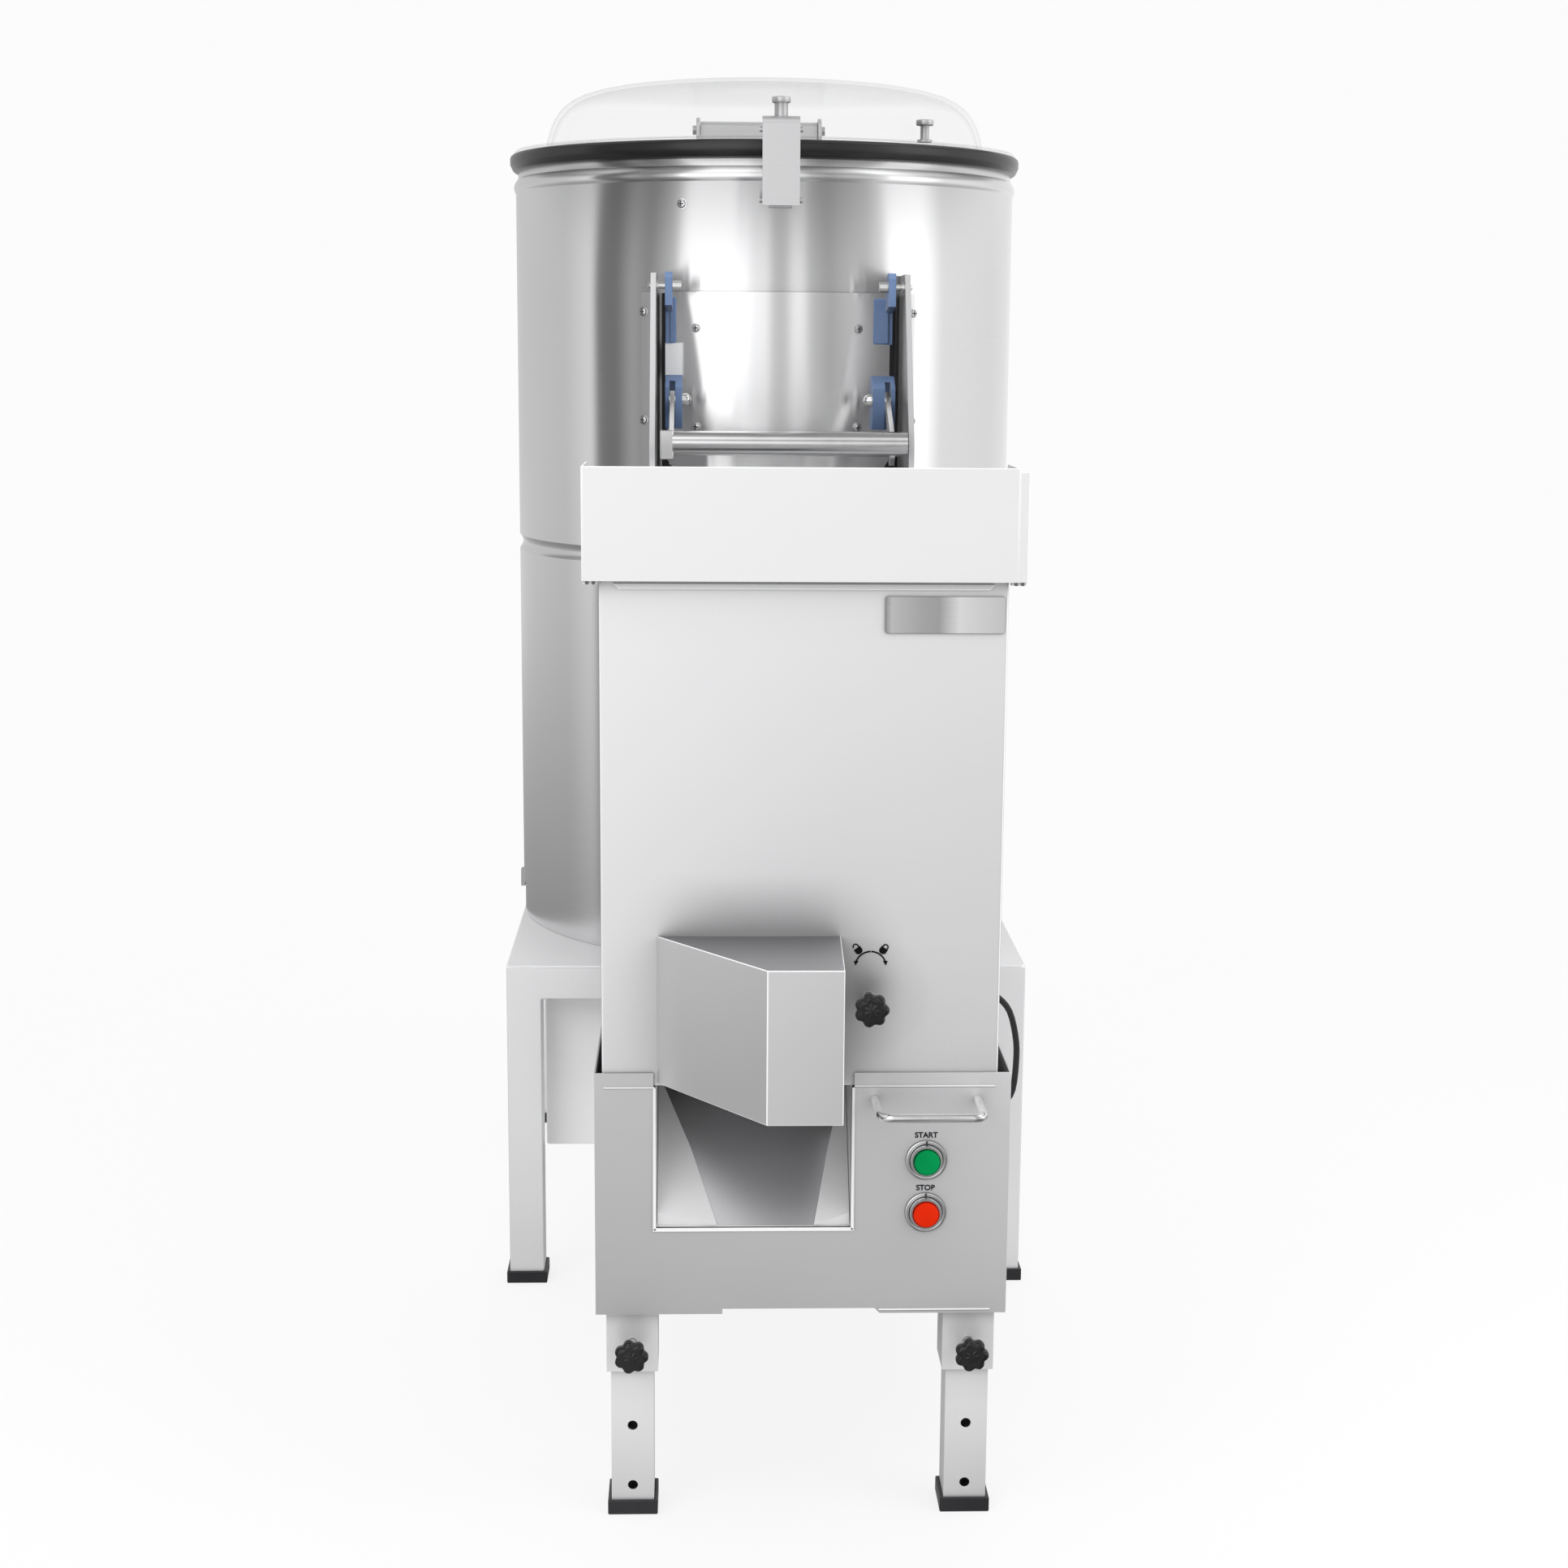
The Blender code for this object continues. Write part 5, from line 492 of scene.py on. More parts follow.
def enamelled_casting(name, colour):
    """A sand casting under sprayed enamel, with the sand's texture showing through."""
    coat = Finish(name)
    place = coat.place()
    wear = coat.noise(place, 25.0, 4.0)
    return coat.surface({
        "Base Color": coat.mixed(wear, [part * 0.7 for part in colour], colour),
        "Roughness": wear * 0.3 + 0.35, "Metallic": 0.2,
        "Normal": coat.bumps(coat.noise(place, 420.0, 3.0), 0.25, 0.0005),
    })


casting = enamelled_casting("grey_enamel", (0.3, 0.31, 0.32))
turned_steel = brushed_steel("turned_steel", 2, 0.62, 0.32)
belt_rubber = moulded("belt_rubber", (0.02, 0.02, 0.02), 0.6)
cover_steel = brushed_steel("cover_sheet", 0, 0.98, 0.5, 0.0, painted_corner_shade=0.0, blue=0.0)
softened("drive_cover", cover_steel, "sheet", 0.0012)
softened("peeler_motor", casting, "cast")
softened("bearing_housing", casting, "cast")
softened("disc_shaft", turned_steel, "steel_bar")
softened("motor_pulley", turned_steel, "steel_bar")
softened("drive_belt", belt_rubber, "rubber")


# The drum: a rolled and welded stainless shell with a groove at half height and a bead under its
# rim, cut open in front for the discharge door, standing in a spun base pan.

drum_radius, drum_sheet = 0.301, 0.0015
groove_rise, groove_half, groove_in = 0.427, 0.009, 0.004
bead_drop, bead_out, neck_in = 0.03, 0.0035, 0.003
groove_steps, bead_steps = 12, 14
opening_x, opening_half = 0.0105, 0.104
opening_low_z, opening_high_z = 0.967, 1.133
opening_columns, wall_columns = 24, 150
shell_low, shell_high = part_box("drum_shell")
base_low, base_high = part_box("drum_base")
drum_y = (base_low.y + base_high.y) / 2
up = (0, 0, 1)
drum_steel = brushed_steel("drum_sheet", 0, 0.86, 0.2, round_y=drum_y, clouds=0.02, spread=0.04,
                           drawn_out=0.95, painted_corner_shade=0.1)

shell_line = [(drum_radius, shell_low.z)]
for step in range(groove_steps + 1):
    angle = math.pi * step / groove_steps
    shell_line.append((
        drum_radius - groove_in * math.sin(angle) ** 2,
        shell_low.z + groove_rise - groove_half * math.cos(angle),
    ))
shell_line += [(drum_radius, opening_low_z), (drum_radius, opening_high_z)]
for step in range(bead_steps + 1):
    share = step / bead_steps
    swell = bead_out * math.sin(math.pi * share) - neck_in * share * share * (3 - 2 * share)
    bead_rise = shell_high.z - bead_drop - groove_half + 2 * groove_half * share
    shell_line.append((drum_radius + swell, bead_rise))
shell_line.append((drum_radius - neck_in, shell_high.z))

opening_start = math.asin((opening_x - opening_half) / drum_radius)
opening_end = math.asin((opening_x + opening_half) / drum_radius)
opening_turn = opening_end - opening_start
bearings = [opening_start + opening_turn * step / opening_columns for step in range(opening_columns)]
bearings += [opening_end + (math.tau - opening_turn) * step / wall_columns for step in range(wall_columns)]
columns = len(bearings)
opening_row = shell_line.index((drum_radius, opening_low_z))
opening_first = opening_row * columns
shell = Stock()
shell.add([
    (radius * math.sin(bearing), drum_y - radius * math.cos(bearing), z)
    for radius, z in shell_line for bearing in bearings
], [
    face for face in grid_faces(len(shell_line) - 1, columns)
    if not opening_first <= face[0] < opening_first + opening_columns
])
drum_shell = shell.piece("drum_shell_rolled", smooth=60)
wall = drum_shell.modifiers.new("sheet", "SOLIDIFY")
wall.thickness = drum_sheet
wall.offset = -1
drum_shell.modifiers.new("folds", "EDGE_SPLIT").split_angle = math.radians(40)
put(drum_shell, drum_steel, "brushed", "drum_shell")

pan_sheet, pan_low, pan_high, pan_hub = 0.002, 0.03, 0.034, 0.03
pan_outer, pan_inner, pan_tall = base_high.x, base_high.x - pan_sheet, base_high.z - base_low.z
pan = Stock()
pan.turned(
    [(pan_inner, 0), (pan_outer, 0), (pan_outer, pan_tall), (pan_inner, pan_tall), (pan_inner, pan_high),
     (pan_hub, pan_high), (pan_hub, pan_low), (pan_inner, pan_low), (pan_inner, 0)],
    (0, drum_y, base_low.z), up, 160,
)
put(pan.piece("drum_base_spun"), drum_steel, "brushed", "drum_base")


# Inside the drum: the grit-coated liner, the wave-topped peeling disc on its shaft, the drain bend
# under the pan and the water inlet through the back wall.

def grit_coat(name, colour, size):
    """Crushed grit bonded in resin: coarse bright and dark grains with gaps between them."""
    coat = Finish(name)
    place = coat.place()
    fine = coat.noise(place, size * 2.0, 3.0)
    return coat.surface({
        "Base Color": coat.mixed(fine, colour, [part * 2.2 for part in colour]),
        "Roughness": fine * 0.3 + 0.6,
        "Normal": coat.bumps(coat.node("TexVoronoi", {"Vector": place, "Scale": size}), 0.9, 0.0012),
    })


grit = grit_coat("grit", (0.05, 0.05, 0.055), 420.0)
softened("abrasive_liner", grit, "abrasive")
softened("abrasive_disc", grit, "abrasive")
softened("drain_pipe", stand_steel, "brushed")
softened("water_inlet", turned_steel, "steel_bar")


# The lid: a black rubber profile pressed over the drum's rim carries a formed clear dome, which
# swings back on a rod between the ears of a steel bracket riveted to the drum's back.

def bright_steel(name, tone, roughness, blue=0.01):
    """Polished stainless: near mirror, with hairline scratches and a trace of handling marks."""
    steel = Finish(name)
    place = steel.place()
    marks = steel.noise(place, 60.0, 4.0)
    colour = (tone, tone, tone + blue)
    return steel.surface({
        "Base Color": steel.mixed(marks, [part * 0.9 for part in colour], colour),
        "Roughness": marks * 0.12 + roughness, "Metallic": 1.0,
        "Normal": steel.bumps(steel.noise(place, 1400.0, 1.0), 0.02, 0.0002),
    })


def clear_sheet(name, facing_alpha, edge_alpha):
    """Formed clear plastic, almost unseen face on and pale grey where it is seen along its wall."""
    sheet = Finish(name)
    haze = sheet.noise(sheet.place(), 9.0)
    alpha = sheet.node("MapRange", {
        "Value": sheet.node("LayerWeight", {"Blend": 0.3}, out="Facing"),
        "From Min": 0.6, "From Max": 1.0, "To Min": facing_alpha, "To Max": edge_alpha,
    })
    return sheet.surface({
        "Base Color": sheet.mixed(haze, (0.62, 0.63, 0.64), (0.74, 0.75, 0.76)),
        "Roughness": haze * 0.06 + 0.03, "Alpha": alpha + haze * 0.02,
    })


seal_low, seal_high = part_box("lid_seal")
seal_outer, seal_fit, seal_tall = seal_high.x, drum_radius - neck_in, seal_high.z - seal_low.z
seal_inner = seal_fit - 0.0115
seal_rubber = moulded("seal_rubber", (0.012, 0.012, 0.013), 0.24, relief=0.02)
seal = Stock()
seal.turned(
    [(seal_fit, 0.0005), (drum_radius + 0.002, 0.002), (drum_radius + 0.0035, 0.0035),
     (seal_outer - 0.001, 0.0078), (seal_outer, 0.01), (seal_outer, seal_tall - 0.0042),
     (seal_outer - 0.0008, seal_tall - 0.002), (seal_outer - 0.0028, seal_tall - 0.0004),
     (seal_outer - 0.005, seal_tall), (seal_inner + 0.001, seal_tall), (seal_inner, seal_tall - 0.001),
     (seal_inner, 0), (seal_fit, 0.0005)],
    (0, drum_y, seal_low.z), up, 192,
)
put(seal.piece("lid_seal_profile", 70), seal_rubber, "rubber", "lid_seal")

dome_low, dome_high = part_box("lid_dome")
dome_wall, dome_radius = 0.004, 0.266
dome_rise = dome_high.z - dome_low.z - dome_wall
dome_shares = (
    (1.0, 0.0), (0.995, 0.05), (0.985, 0.19), (0.972, 0.33), (0.954, 0.46), (0.934, 0.555), (0.912, 0.63),
    (0.88, 0.705), (0.84, 0.768), (0.79, 0.818), (0.73, 0.858), (0.66, 0.888), (0.56, 0.914), (0.44, 0.936),
    (0.3, 0.957), (0.14, 0.98), (0.0, 1.0),
)
outer_line = [(dome_radius * share, dome_wall + dome_rise * rise) for share, rise in dome_shares]
inner_line = [((dome_radius - dome_wall) * share, dome_rise * rise) for share, rise in dome_shares]
flange = [
    (dome_high.x, 0), (dome_high.x, 0.0032),
    (dome_high.x - 0.0008, dome_wall), (dome_radius + 0.004, dome_wall),
]
dome = Stock()
for line in (inner_line[:1] + flange + outer_line, inner_line):
    dome.turned(line, (0, drum_y, dome_low.z), up, 160)
clear = clear_sheet("clear_lid", 0.03, 0.45)
put(dome.piece("lid_dome_formed", 50), clear, "clear", "lid_dome")

satin = brushed_steel("satin_sheet", 0, 0.7, 0.38, 0.8)
polished = bright_steel("polished_steel", 0.8, 0.1)
softened("lid_hinge_bracket", satin, "brushed", 0.0008, 40)
softened("lid_hinge_arm", satin, "brushed", 0.0006, 40)


# The front latch: a curled strap of satin steel hung on a lug on the lid's flange, its foot pin
# behind a keeper welded to the drum, with a spring button on top. A short stud stands beside it.

softened("latch_strap", satin, "brushed", 0.0009, 40)
softened("latch_lug", polished, "steel_bar", 0.0005, 50)
strap_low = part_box("latch_strap")[0]
keeper_x, keeper_half, keeper_in, keeper_drop, keeper_top = 0.0105, 0.013, 0.0095, 0.0018, 0.0138
keeper = Stock()
keeper.block(
    (keeper_x - keeper_half, strap_low.y + keeper_in, strap_low.z - keeper_drop),
    (keeper_x + keeper_half, drum_y - drum_radius + drum_sheet / 2, strap_low.z + keeper_top),
)
put(keeper.piece("latch_keeper", edge=0.0008), polished, "steel_bar")


def turned_button(node_name, foot=0):
    """A turned button: a plain stem, wider for its foot if asked, under a short flat head."""
    low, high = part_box(node_name)
    middle = (low + high) / 2
    radius, height = (high.x - low.x) / 2, high.z - low.z
    neck = radius * (0.5 if foot else 0.72)
    head = height - radius * 0.62
    foot_line = [(radius * 0.86, 0), (radius * 0.86, foot), (neck, foot + 0.001)] if foot else [(neck, 0)]
    part = Stock()
    part.turned(
        [(0, 0)] + foot_line + [
            (neck, head - 0.001), (neck + 0.0006, head), (radius - 0.0006, head), (radius, head + 0.0008),
            (radius, height - 0.0009), (radius - 0.0009, height), (0, height),
        ],
        (middle.x, middle.y, low.z), up, 40,
    )
    put(part.piece(node_name + "_turned", 40), satin, "steel_bar", node_name)


turned_button("latch_button")
turned_button("lid_stud", 0.0025)


# Small fasteners: pan-head screws with a cross recess on their washers, in polished stainless.
# They sit on the sheet or block that they hold.

recess_painted_shade = moulded("recess_shadow", (0.05, 0.05, 0.055), 0.5)
screw_steel = bright_steel("screw_steel", 0.74, 0.16)


def screw(name, place, facing, body="machine", radius=0.0048):
    """A pan-head screw on its washer; the cross is a pair of dark slots on the head that paint the shade of
    its recess.
    """
    part = Stock()
    head = radius * 0.72
    part.turned(
        [(0, 0), (radius * 1.22, 0), (radius * 1.22, 0.0006), (radius, 0.0007), (radius * 0.98, head * 0.5),
         (radius * 0.8, head * 0.85), (radius * 0.45, head), (0, head * 1.03)],
        place, facing, 28,
    )
    turn = Vector(facing).to_track_quat("Z", "Y").to_matrix()
    half, slim = radius * 0.6, radius * 0.15
    for wide, tall in ((half, slim), (slim, half)):
        part.add([
            Vector(place) + turn @ Vector((x, y, z))
            for z in (head * 0.9, head * 1.06) for y in (-tall, tall) for x in (-wide, wide)
        ], part.box_faces, 1)
    put(part.piece(name), (screw_steel, recess_painted_shade), "steel_bar", body=body)


def on_drum(x, z, stand_off=0.0):
    """The place and the outward direction of the drum's front wall at x and z."""
    radius = drum_radius + stand_off
    reach = math.sqrt(radius * radius - x * x)
    return (x, drum_y - reach, z), (x / radius, -reach / radius, 0)


screw("shell_screw", *on_drum(-0.098, 1.2419))
tab_out, tab_in, tab_half, tab_low_z, tab_high_z = -0.3055, -0.3, 0.006, 0.408, 0.43
drum_tab = Stock()
drum_tab.block((tab_out, drum_y - tab_half, tab_low_z), (tab_in, drum_y + tab_half, tab_high_z))
put(drum_tab.piece("drum_tab", edge=0.0006), satin, "sheet")


# The discharge door: a curved plate on blue hinge blocks, pressed on its rubber frame by a bail
# that pivots in slotted blue blocks, between the two cheeks of the spout.

door_steel = brushed_steel("door_sheet", 0, 0.95, 0.2, round_y=drum_y, clouds=0.02, spread=0.04,
                           drawn_out=0.95, painted_corner_shade=0.15)
cheek_steel = brushed_steel("cheek_sheet", 2, 0.78, 0.3)
blue = moulded("blue_block", (0.115, 0.18, 0.325), 0.38, relief=0.08)
softened("discharge_spout", cheek_steel, "brushed", 0.0006, 45)
softened("door_seal", rubber, "rubber", 0.0006, 45)

plate_low, plate_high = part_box("door_plate")
plate_inner, plate_sheet, plate_corner = drum_radius + 0.006, 0.0015, 0.01
door_columns, door_rows = 40, 10
door_x, door_half = (plate_low.x + plate_high.x) / 2, (plate_high.x - plate_low.x) / 2
points = []
for layer in (plate_inner + plate_sheet, plate_inner):
    for row in range(door_rows + 1):
        for column in range(door_columns + 1):
            x = door_x - door_half + 2 * door_half * column / door_columns
            edge_gap = max(0.0, plate_corner - (door_half - abs(x - door_x)))
            lift = plate_corner - math.sqrt(max(0.0, plate_corner * plate_corner - edge_gap * edge_gap))
            low_z = plate_low.z + lift
            z = low_z + (plate_high.z - low_z) * row / door_rows
            points.append((x, drum_y - math.sqrt(layer * layer - x * x), z))
side = door_columns + 1
back = side * (door_rows + 1)
faces = grid_faces(door_rows, side, closed=False)
faces += [face[::-1] for face in grid_faces(door_rows, side, back, closed=False)]
rim = list(range(side))
rim += [row * side + side - 1 for row in range(1, door_rows + 1)]
rim += [door_rows * side + column for column in range(side - 2, -1, -1)]
rim += [row * side for row in range(door_rows - 1, 0, -1)]
faces += [(low, low + back, after + back, after) for low, after in zip(rim, rim[1:] + rim[:1])]
plate = Stock()
plate.add(points, faces)
put(plate.piece("door_plate_rolled"), door_steel, "brushed", "door_plate")

stop_tab = Stock()
stop_tab.block((-0.1165, 0.049, 1.0537), (-0.097, 0.051, 1.0907))
stop_tab.block((-0.1165, 0.051, 1.056), (-0.114, 0.064, 1.0885))
put(stop_tab.piece("door_stop_tab", edge=0.0004), stand_steel, "sheet", body="door")
door_stand_off, flange_stand_off, door_screw_radius = 0.0075, 0.0023, 0.0044
for side_name, screw_x in (("left", -0.082), ("right", 0.0985)):
    for level_name, screw_z in (("upper", 1.107), ("lower", 0.9985)):
        spot = on_drum(screw_x, screw_z, door_stand_off)
        screw(f"door_screw_{side_name}_{level_name}", *spot, "door", door_screw_radius)
for side_name, screw_x, screw_levels in (
    ("left", -0.141, (1.1247, 1.005)), ("right", 0.162, (1.1249, 1.005)),
):
    for count, screw_z in enumerate(screw_levels):
        spot = on_drum(screw_x, screw_z, flange_stand_off)
        screw(f"flange_screw_{side_name}_{count}", *spot)

pin_steel = bright_steel("pin_steel", 0.97, 0.22, 0.0)
for side_name, outward in (("left", -1), ("right", 1)):
    for block_name in ("hinge_block_", "handle_block_"):
        softened(block_name + side_name, blue, "blue", 0.0009, 40).visible_glossy = False
    pin_name = "hinge_pin_" + side_name
    pin_low, pin_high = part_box(pin_name)
    middle = (pin_low + pin_high) / 2
    inner_x = pin_high.x if outward < 0 else pin_low.x
    length = pin_high.x - pin_low.x
    pin = Stock()
    pin.turned(
        [(0, 0), (0.005, 0), (0.0055, 0.0005), (0.0055, 0.0095), (0.005, 0.01), (0.0031, 0.0101),
         (0.0031, length - 0.0118), (0.0056, length - 0.0116), (0.0056, length - 0.0106),
         (0.0048, length - 0.0105), (0.0048, length - 0.006), (0.004, length - 0.0056),
         (0.0036, length - 0.0028), (0.0022, length - 0.0007), (0, length)],
        (inner_x, middle.y, middle.z), (outward, 0, 0), 30,
    )
    put(pin.piece("hinge_pin_turned_" + side_name), pin_steel, "steel_bar", pin_name)
bar_steel = bright_steel("bar_steel", 0.98, 0.1, 0.0)
softened("door_handle", bar_steel, "steel_bar", 0.0006, 45)


# The cutting head's lower housing: folded stainless, hooked on the stand behind and standing on two
# telescopic legs in welded sleeves, clamped by seven-lobed knobs. The catch chute shows in its front.

# The housing's sheet is painted lighter towards its right and towards its top: a painted gradient of light
# across its front.
housing_steel = brushed_steel(
    "housing_sheet", 0, 0.77, 0.46, 0.72, streaks=0.02, clouds=0.02,
    painted_light_fades=((0, -0.17, 0.2, 0.88, 1.13), (2, 0.17, 0.43, 0.93, 1.1)),
)
chute_steel = brushed_steel("chute_sheet", 0, 0.76, 0.3, 0.9, 0.03, 0.25,
                            spread=0.06, painted_corner_shade=0.5, blue=0.02)
# A lighter copy of the chute's sheet for its side faces: painted light where those faces turn towards the
# lamps.
chute_painted_light = brushed_steel("chute_cheek_painted_light", 2, 0.92, 0.36, 0.3, 0.02, 0.06, painted_corner_shade=0.2)
leg_steel = brushed_steel("leg_tube", 2, 0.94, 0.3, 0.35, 0.02, 0.02, spread=0.03)


def refinished(piece, material, chosen):
    """The faces of a piece that pass a test on their centre and direction take another material."""
    piece.data.materials.append(material)
    index = len(piece.data.materials) - 1
    for face in piece.data.polygons:
        if chosen(face.center, face.normal):
            face.material_index = index


sleeve_top = 0.2035
housing = softened("lower_housing", housing_steel, "sheet", 0.0014, 40, fold_painted_highlight)
refinished(housing, leg_steel, lambda centre, normal: centre.z < sleeve_top)
chute = softened("catch_chute", chute_steel, "sheet", 0.0012, 20, fold_painted_highlight)
refinished(chute, chute_painted_light, lambda centre, normal: abs(normal.x) > 0.5)

# Triangular plates on the chute's side walls carry the same painted light.
chute_low, chute_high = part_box("catch_chute")
toe_left_in, toe_right_in = 0.057, 0.0345
cheek_in, cheek_rise = 0.0018, 0.014
front_y, foot_z = chute_low.y + 0.0012, chute_low.z + 0.002
back_top_y, back_top_z = chute_high.y - 0.0015, chute_high.z - 0.0015
cheeks = Stock()
for wall_x, toe_x in (
    (chute_low.x + cheek_in, chute_low.x + toe_left_in),
    (chute_high.x - cheek_in, chute_high.x - toe_right_in),
):
    cheeks.add(
        [(wall_x, back_top_y, back_top_z), (toe_x, front_y, foot_z + 0.0002), (wall_x, front_y, foot_z),
         (wall_x, front_y, chute_low.z + cheek_rise)],
        [(0, 3, 1), (3, 2, 1), (0, 1, 2), (0, 2, 3)],
    )
put(cheeks.piece("chute_cheeks", 5), chute_painted_light, "sheet")


# Its trim: the rolled rim round the chute's mouth and the hems where the front sheet's flaps are
# folded over, in the near-white of a painted highlight, each hem with a dark strip below as the painted
# shadow of its gap.

housing_front = -0.56755
rim_width, rim_out, hem_out, hem_tall, gap_out, gap_tall = 0.0026, 0.001, 0.0007, 0.0013, 0.0003, 0.0005
mouth_low_x, mouth_high_x, mouth_low_z, mouth_high_z = -0.1188, 0.0655, 0.2855, 0.4222
mouth_rim = Stock()
for low_x, high_x, high_z in (
    (mouth_low_x, mouth_low_x + rim_width, mouth_high_z),
    (mouth_high_x - rim_width, mouth_high_x, mouth_high_z),
    (mouth_low_x, mouth_high_x, mouth_low_z + rim_width),
):
    mouth_rim.block((low_x, housing_front - rim_out, mouth_low_z), (high_x, housing_front + 0.0012, high_z))
put(mouth_rim.piece("mouth_rim", edge=0.0005), fold_painted_highlight, "sheet")

gap_dark = moulded("gap_shadow", (0.1, 0.1, 0.105), 0.6)
hems = Stock()
for low_x, high_x, hem_z in ((-0.164, -0.1175, 0.4218), (0.0655, 0.194, 0.4229), (0.09, 0.1935, 0.2072)):
    hem_back = housing_front + 0.0005
    hems.block((low_x, housing_front - hem_out, hem_z), (high_x, hem_back, hem_z + hem_tall))
    # The dark strip under each hem is the painted shadow of its gap.
    hems.block((low_x, housing_front - gap_out, hem_z - gap_tall), (high_x, hem_back, hem_z), 1)
put(hems.piece("front_hems"), (fold_painted_highlight, gap_dark), "sheet")

knob_black = moulded("knob_black", (0.01, 0.01, 0.011), 0.16, relief=0.02)


def star_knob(node_name, centre_x, centre_z, shank_reach, knob=None):
    """A seven-lobed moulded knob with a domed face on a bright threaded shank."""
    radius, depth = 0.0158, 0.012
    lobes, lobe_depth = 7, 0.0012
    knob = knob or Stock()
    back = (centre_x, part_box(node_name)[0].y + depth, centre_z)
    knob.turned(
        [(0.0045, -0.007), (0.0083, -0.0065), (0.0085, 0), (radius - 0.0022, 0), (radius - 0.0006, 0.0012),
         (radius, 0.0035), (radius, 0.008), (radius - 0.0007, 0.0098), (radius - 0.0025, 0.0111),
         (radius - 0.005, 0.0117), (0.008, 0.0112), (0.0068, 0.0114), (0.0045, 0.0119), (0, depth)],
        back, (0, -1, 0), 112, 0, lobes, lobe_depth,
    )
    knob.turned(
        [(0, shank_reach), (0.0042, shank_reach), (0.0042, 0.006), (0, 0.006)], back, (0, 1, 0), 20, 1,
    )
    put(knob.piece(node_name + "_star", 50), (knob_black, polished), "black_plastic", node_name)


leg_knob_z, leg_knob_shank = 0.1725, 0.0297
for side_name, leg_x in (("left", -0.139), ("right", 0.175)):
    softened("front_leg_" + side_name, leg_steel, "sheet", 0.0016, 45)
    rubber_cup("front_foot_" + side_name)
    star_knob("leg_knob_" + side_name, leg_x, leg_knob_z, leg_knob_shank)


# Inside the cabinet: the gear motor stands on the housing's floor and drives the rotor in the
# cutting drum; the funnel leads down to it and the blade grid closes its outlet.

blade_steel = bright_steel("blade_steel", 0.78, 0.16)
softened("cutter_motor", casting, "cast")
softened("cutter_drum", drum_steel, "brushed")
softened("cutter_rotor", turned_steel, "steel_bar")
softened("feed_funnel", housing_steel, "sheet")
softened("blade_grid", blade_steel, "steel_bar")


# The cabinet: a five-sided box of light satin sheet with the grid's window in front, under a tray
# with high sides and folded rims. Its bare plate and the printed lock sign are on its front.

# Its colour takes a strong, short-reaching painted shade where the hood and the knob stand close in front
# of it.
cabinet_steel = brushed_steel("cabinet_sheet", 0, 0.9, 0.38, 0.7, streaks=0.02, clouds=0.02,
                              painted_corner_shade=0.7, reach=0.06)
tray_steel = brushed_steel("tray_sheet", 0, 0.87, 0.45, 0.4, streaks=0.02, clouds=0.02, blue=0.0)
softened("cabinet_shell", cabinet_steel, "sheet", 0.0014, 40, fold_painted_highlight)
cabinet_low, cabinet_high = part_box("cabinet_shell")
cabinet_front = -0.56575

tray_low, tray_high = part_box("hopper_tray")
tray_sheet, tray_rim_z, slope_low_y, slope_high_y = 0.0015, 0.9228, -0.4308, -0.4908
wall_right, tray_lap, tray_gap = 0.2035, 0.0003, 0.0001
feed_low_x, feed_low_y, feed_high_x, feed_high_y = -0.153, -0.5533, 0.184, -0.0223
side_line = [
    (tray_low.y, tray_low.z), (tray_high.y, tray_low.z), (tray_high.y, tray_rim_z),
    (slope_low_y, tray_rim_z), (slope_high_y, tray_high.z), (tray_low.y, tray_high.z),
]
inner_low_x, inner_high_x = tray_low.x + tray_sheet, wall_right - tray_sheet
inner_low_y, inner_high_y = tray_low.y + tray_sheet, tray_high.y - tray_sheet
lap_low_x, lap_high_x = inner_low_x - tray_lap, inner_high_x + tray_lap
lap_low_y, lap_high_y = inner_low_y - tray_lap, inner_high_y + tray_lap
low_z = tray_low.z + tray_gap
tray = Stock()
tray.plate(side_line, tray_low.x, inner_low_x, 0)
tray.plate(side_line, inner_high_x, wall_right, 0)
tray.block((lap_low_x, tray_low.y + tray_gap, low_z), (lap_high_x, inner_low_y, tray_high.z - tray_gap))
tray.block((lap_low_x, inner_high_y, low_z), (lap_high_x, tray_high.y - tray_gap, tray_rim_z - tray_gap))
tray.block((wall_right - tray_lap, -0.5755, 0.8851), (tray_high.x, -0.5739, 0.9818))
# The tray's rounded edges take the near-white painted highlight of the folds.
folded = tray.piece("hopper_tray_folded", edge=0.0006)
folded.modifiers["edges"].material = 1
put(folded, (tray_steel, fold_painted_highlight), "sheet", "hopper_tray")
ledge = Stock()
for low_x, low_y, high_x, high_y in (
    (lap_low_x, lap_low_y, feed_low_x, lap_high_y), (feed_high_x, lap_low_y, lap_high_x, lap_high_y),
    (feed_low_x, lap_low_y, feed_high_x, feed_low_y), (feed_low_x, feed_high_y, feed_high_x, lap_high_y),
):
    ledge.block((low_x, low_y, low_z), (high_x, high_y, low_z + tray_sheet))
put(ledge.piece("tray_ledge"), tray_steel, "sheet")

tab_front, tab_back, tab_drop = tray_low.y + 0.003, tray_low.y + 0.012, 0.0028
tray_tabs = Stock()
for low_x, high_x in (
    (tray_low.x + 0.001, cabinet_low.x - 0.001), (cabinet_high.x + 0.001, tray_high.x - 0.001),
):
    tray_tabs.block((low_x, tab_front, tray_low.z - tab_drop), (high_x, tab_back, tray_low.z))
    for share in (0.3, 0.75):
        tray_tabs.turned(
            [(0, 0), (0.0016, 0), (0.0016, 0.001), (0.0009, 0.0014), (0, 0.0014)],
            (low_x + (high_x - low_x) * share, tab_front, tray_low.z - tab_drop / 2), (0, -1, 0), 16, 1,
        )
put(tray_tabs.piece("tray_tabs"), (tray_steel, gap_dark), "sheet")

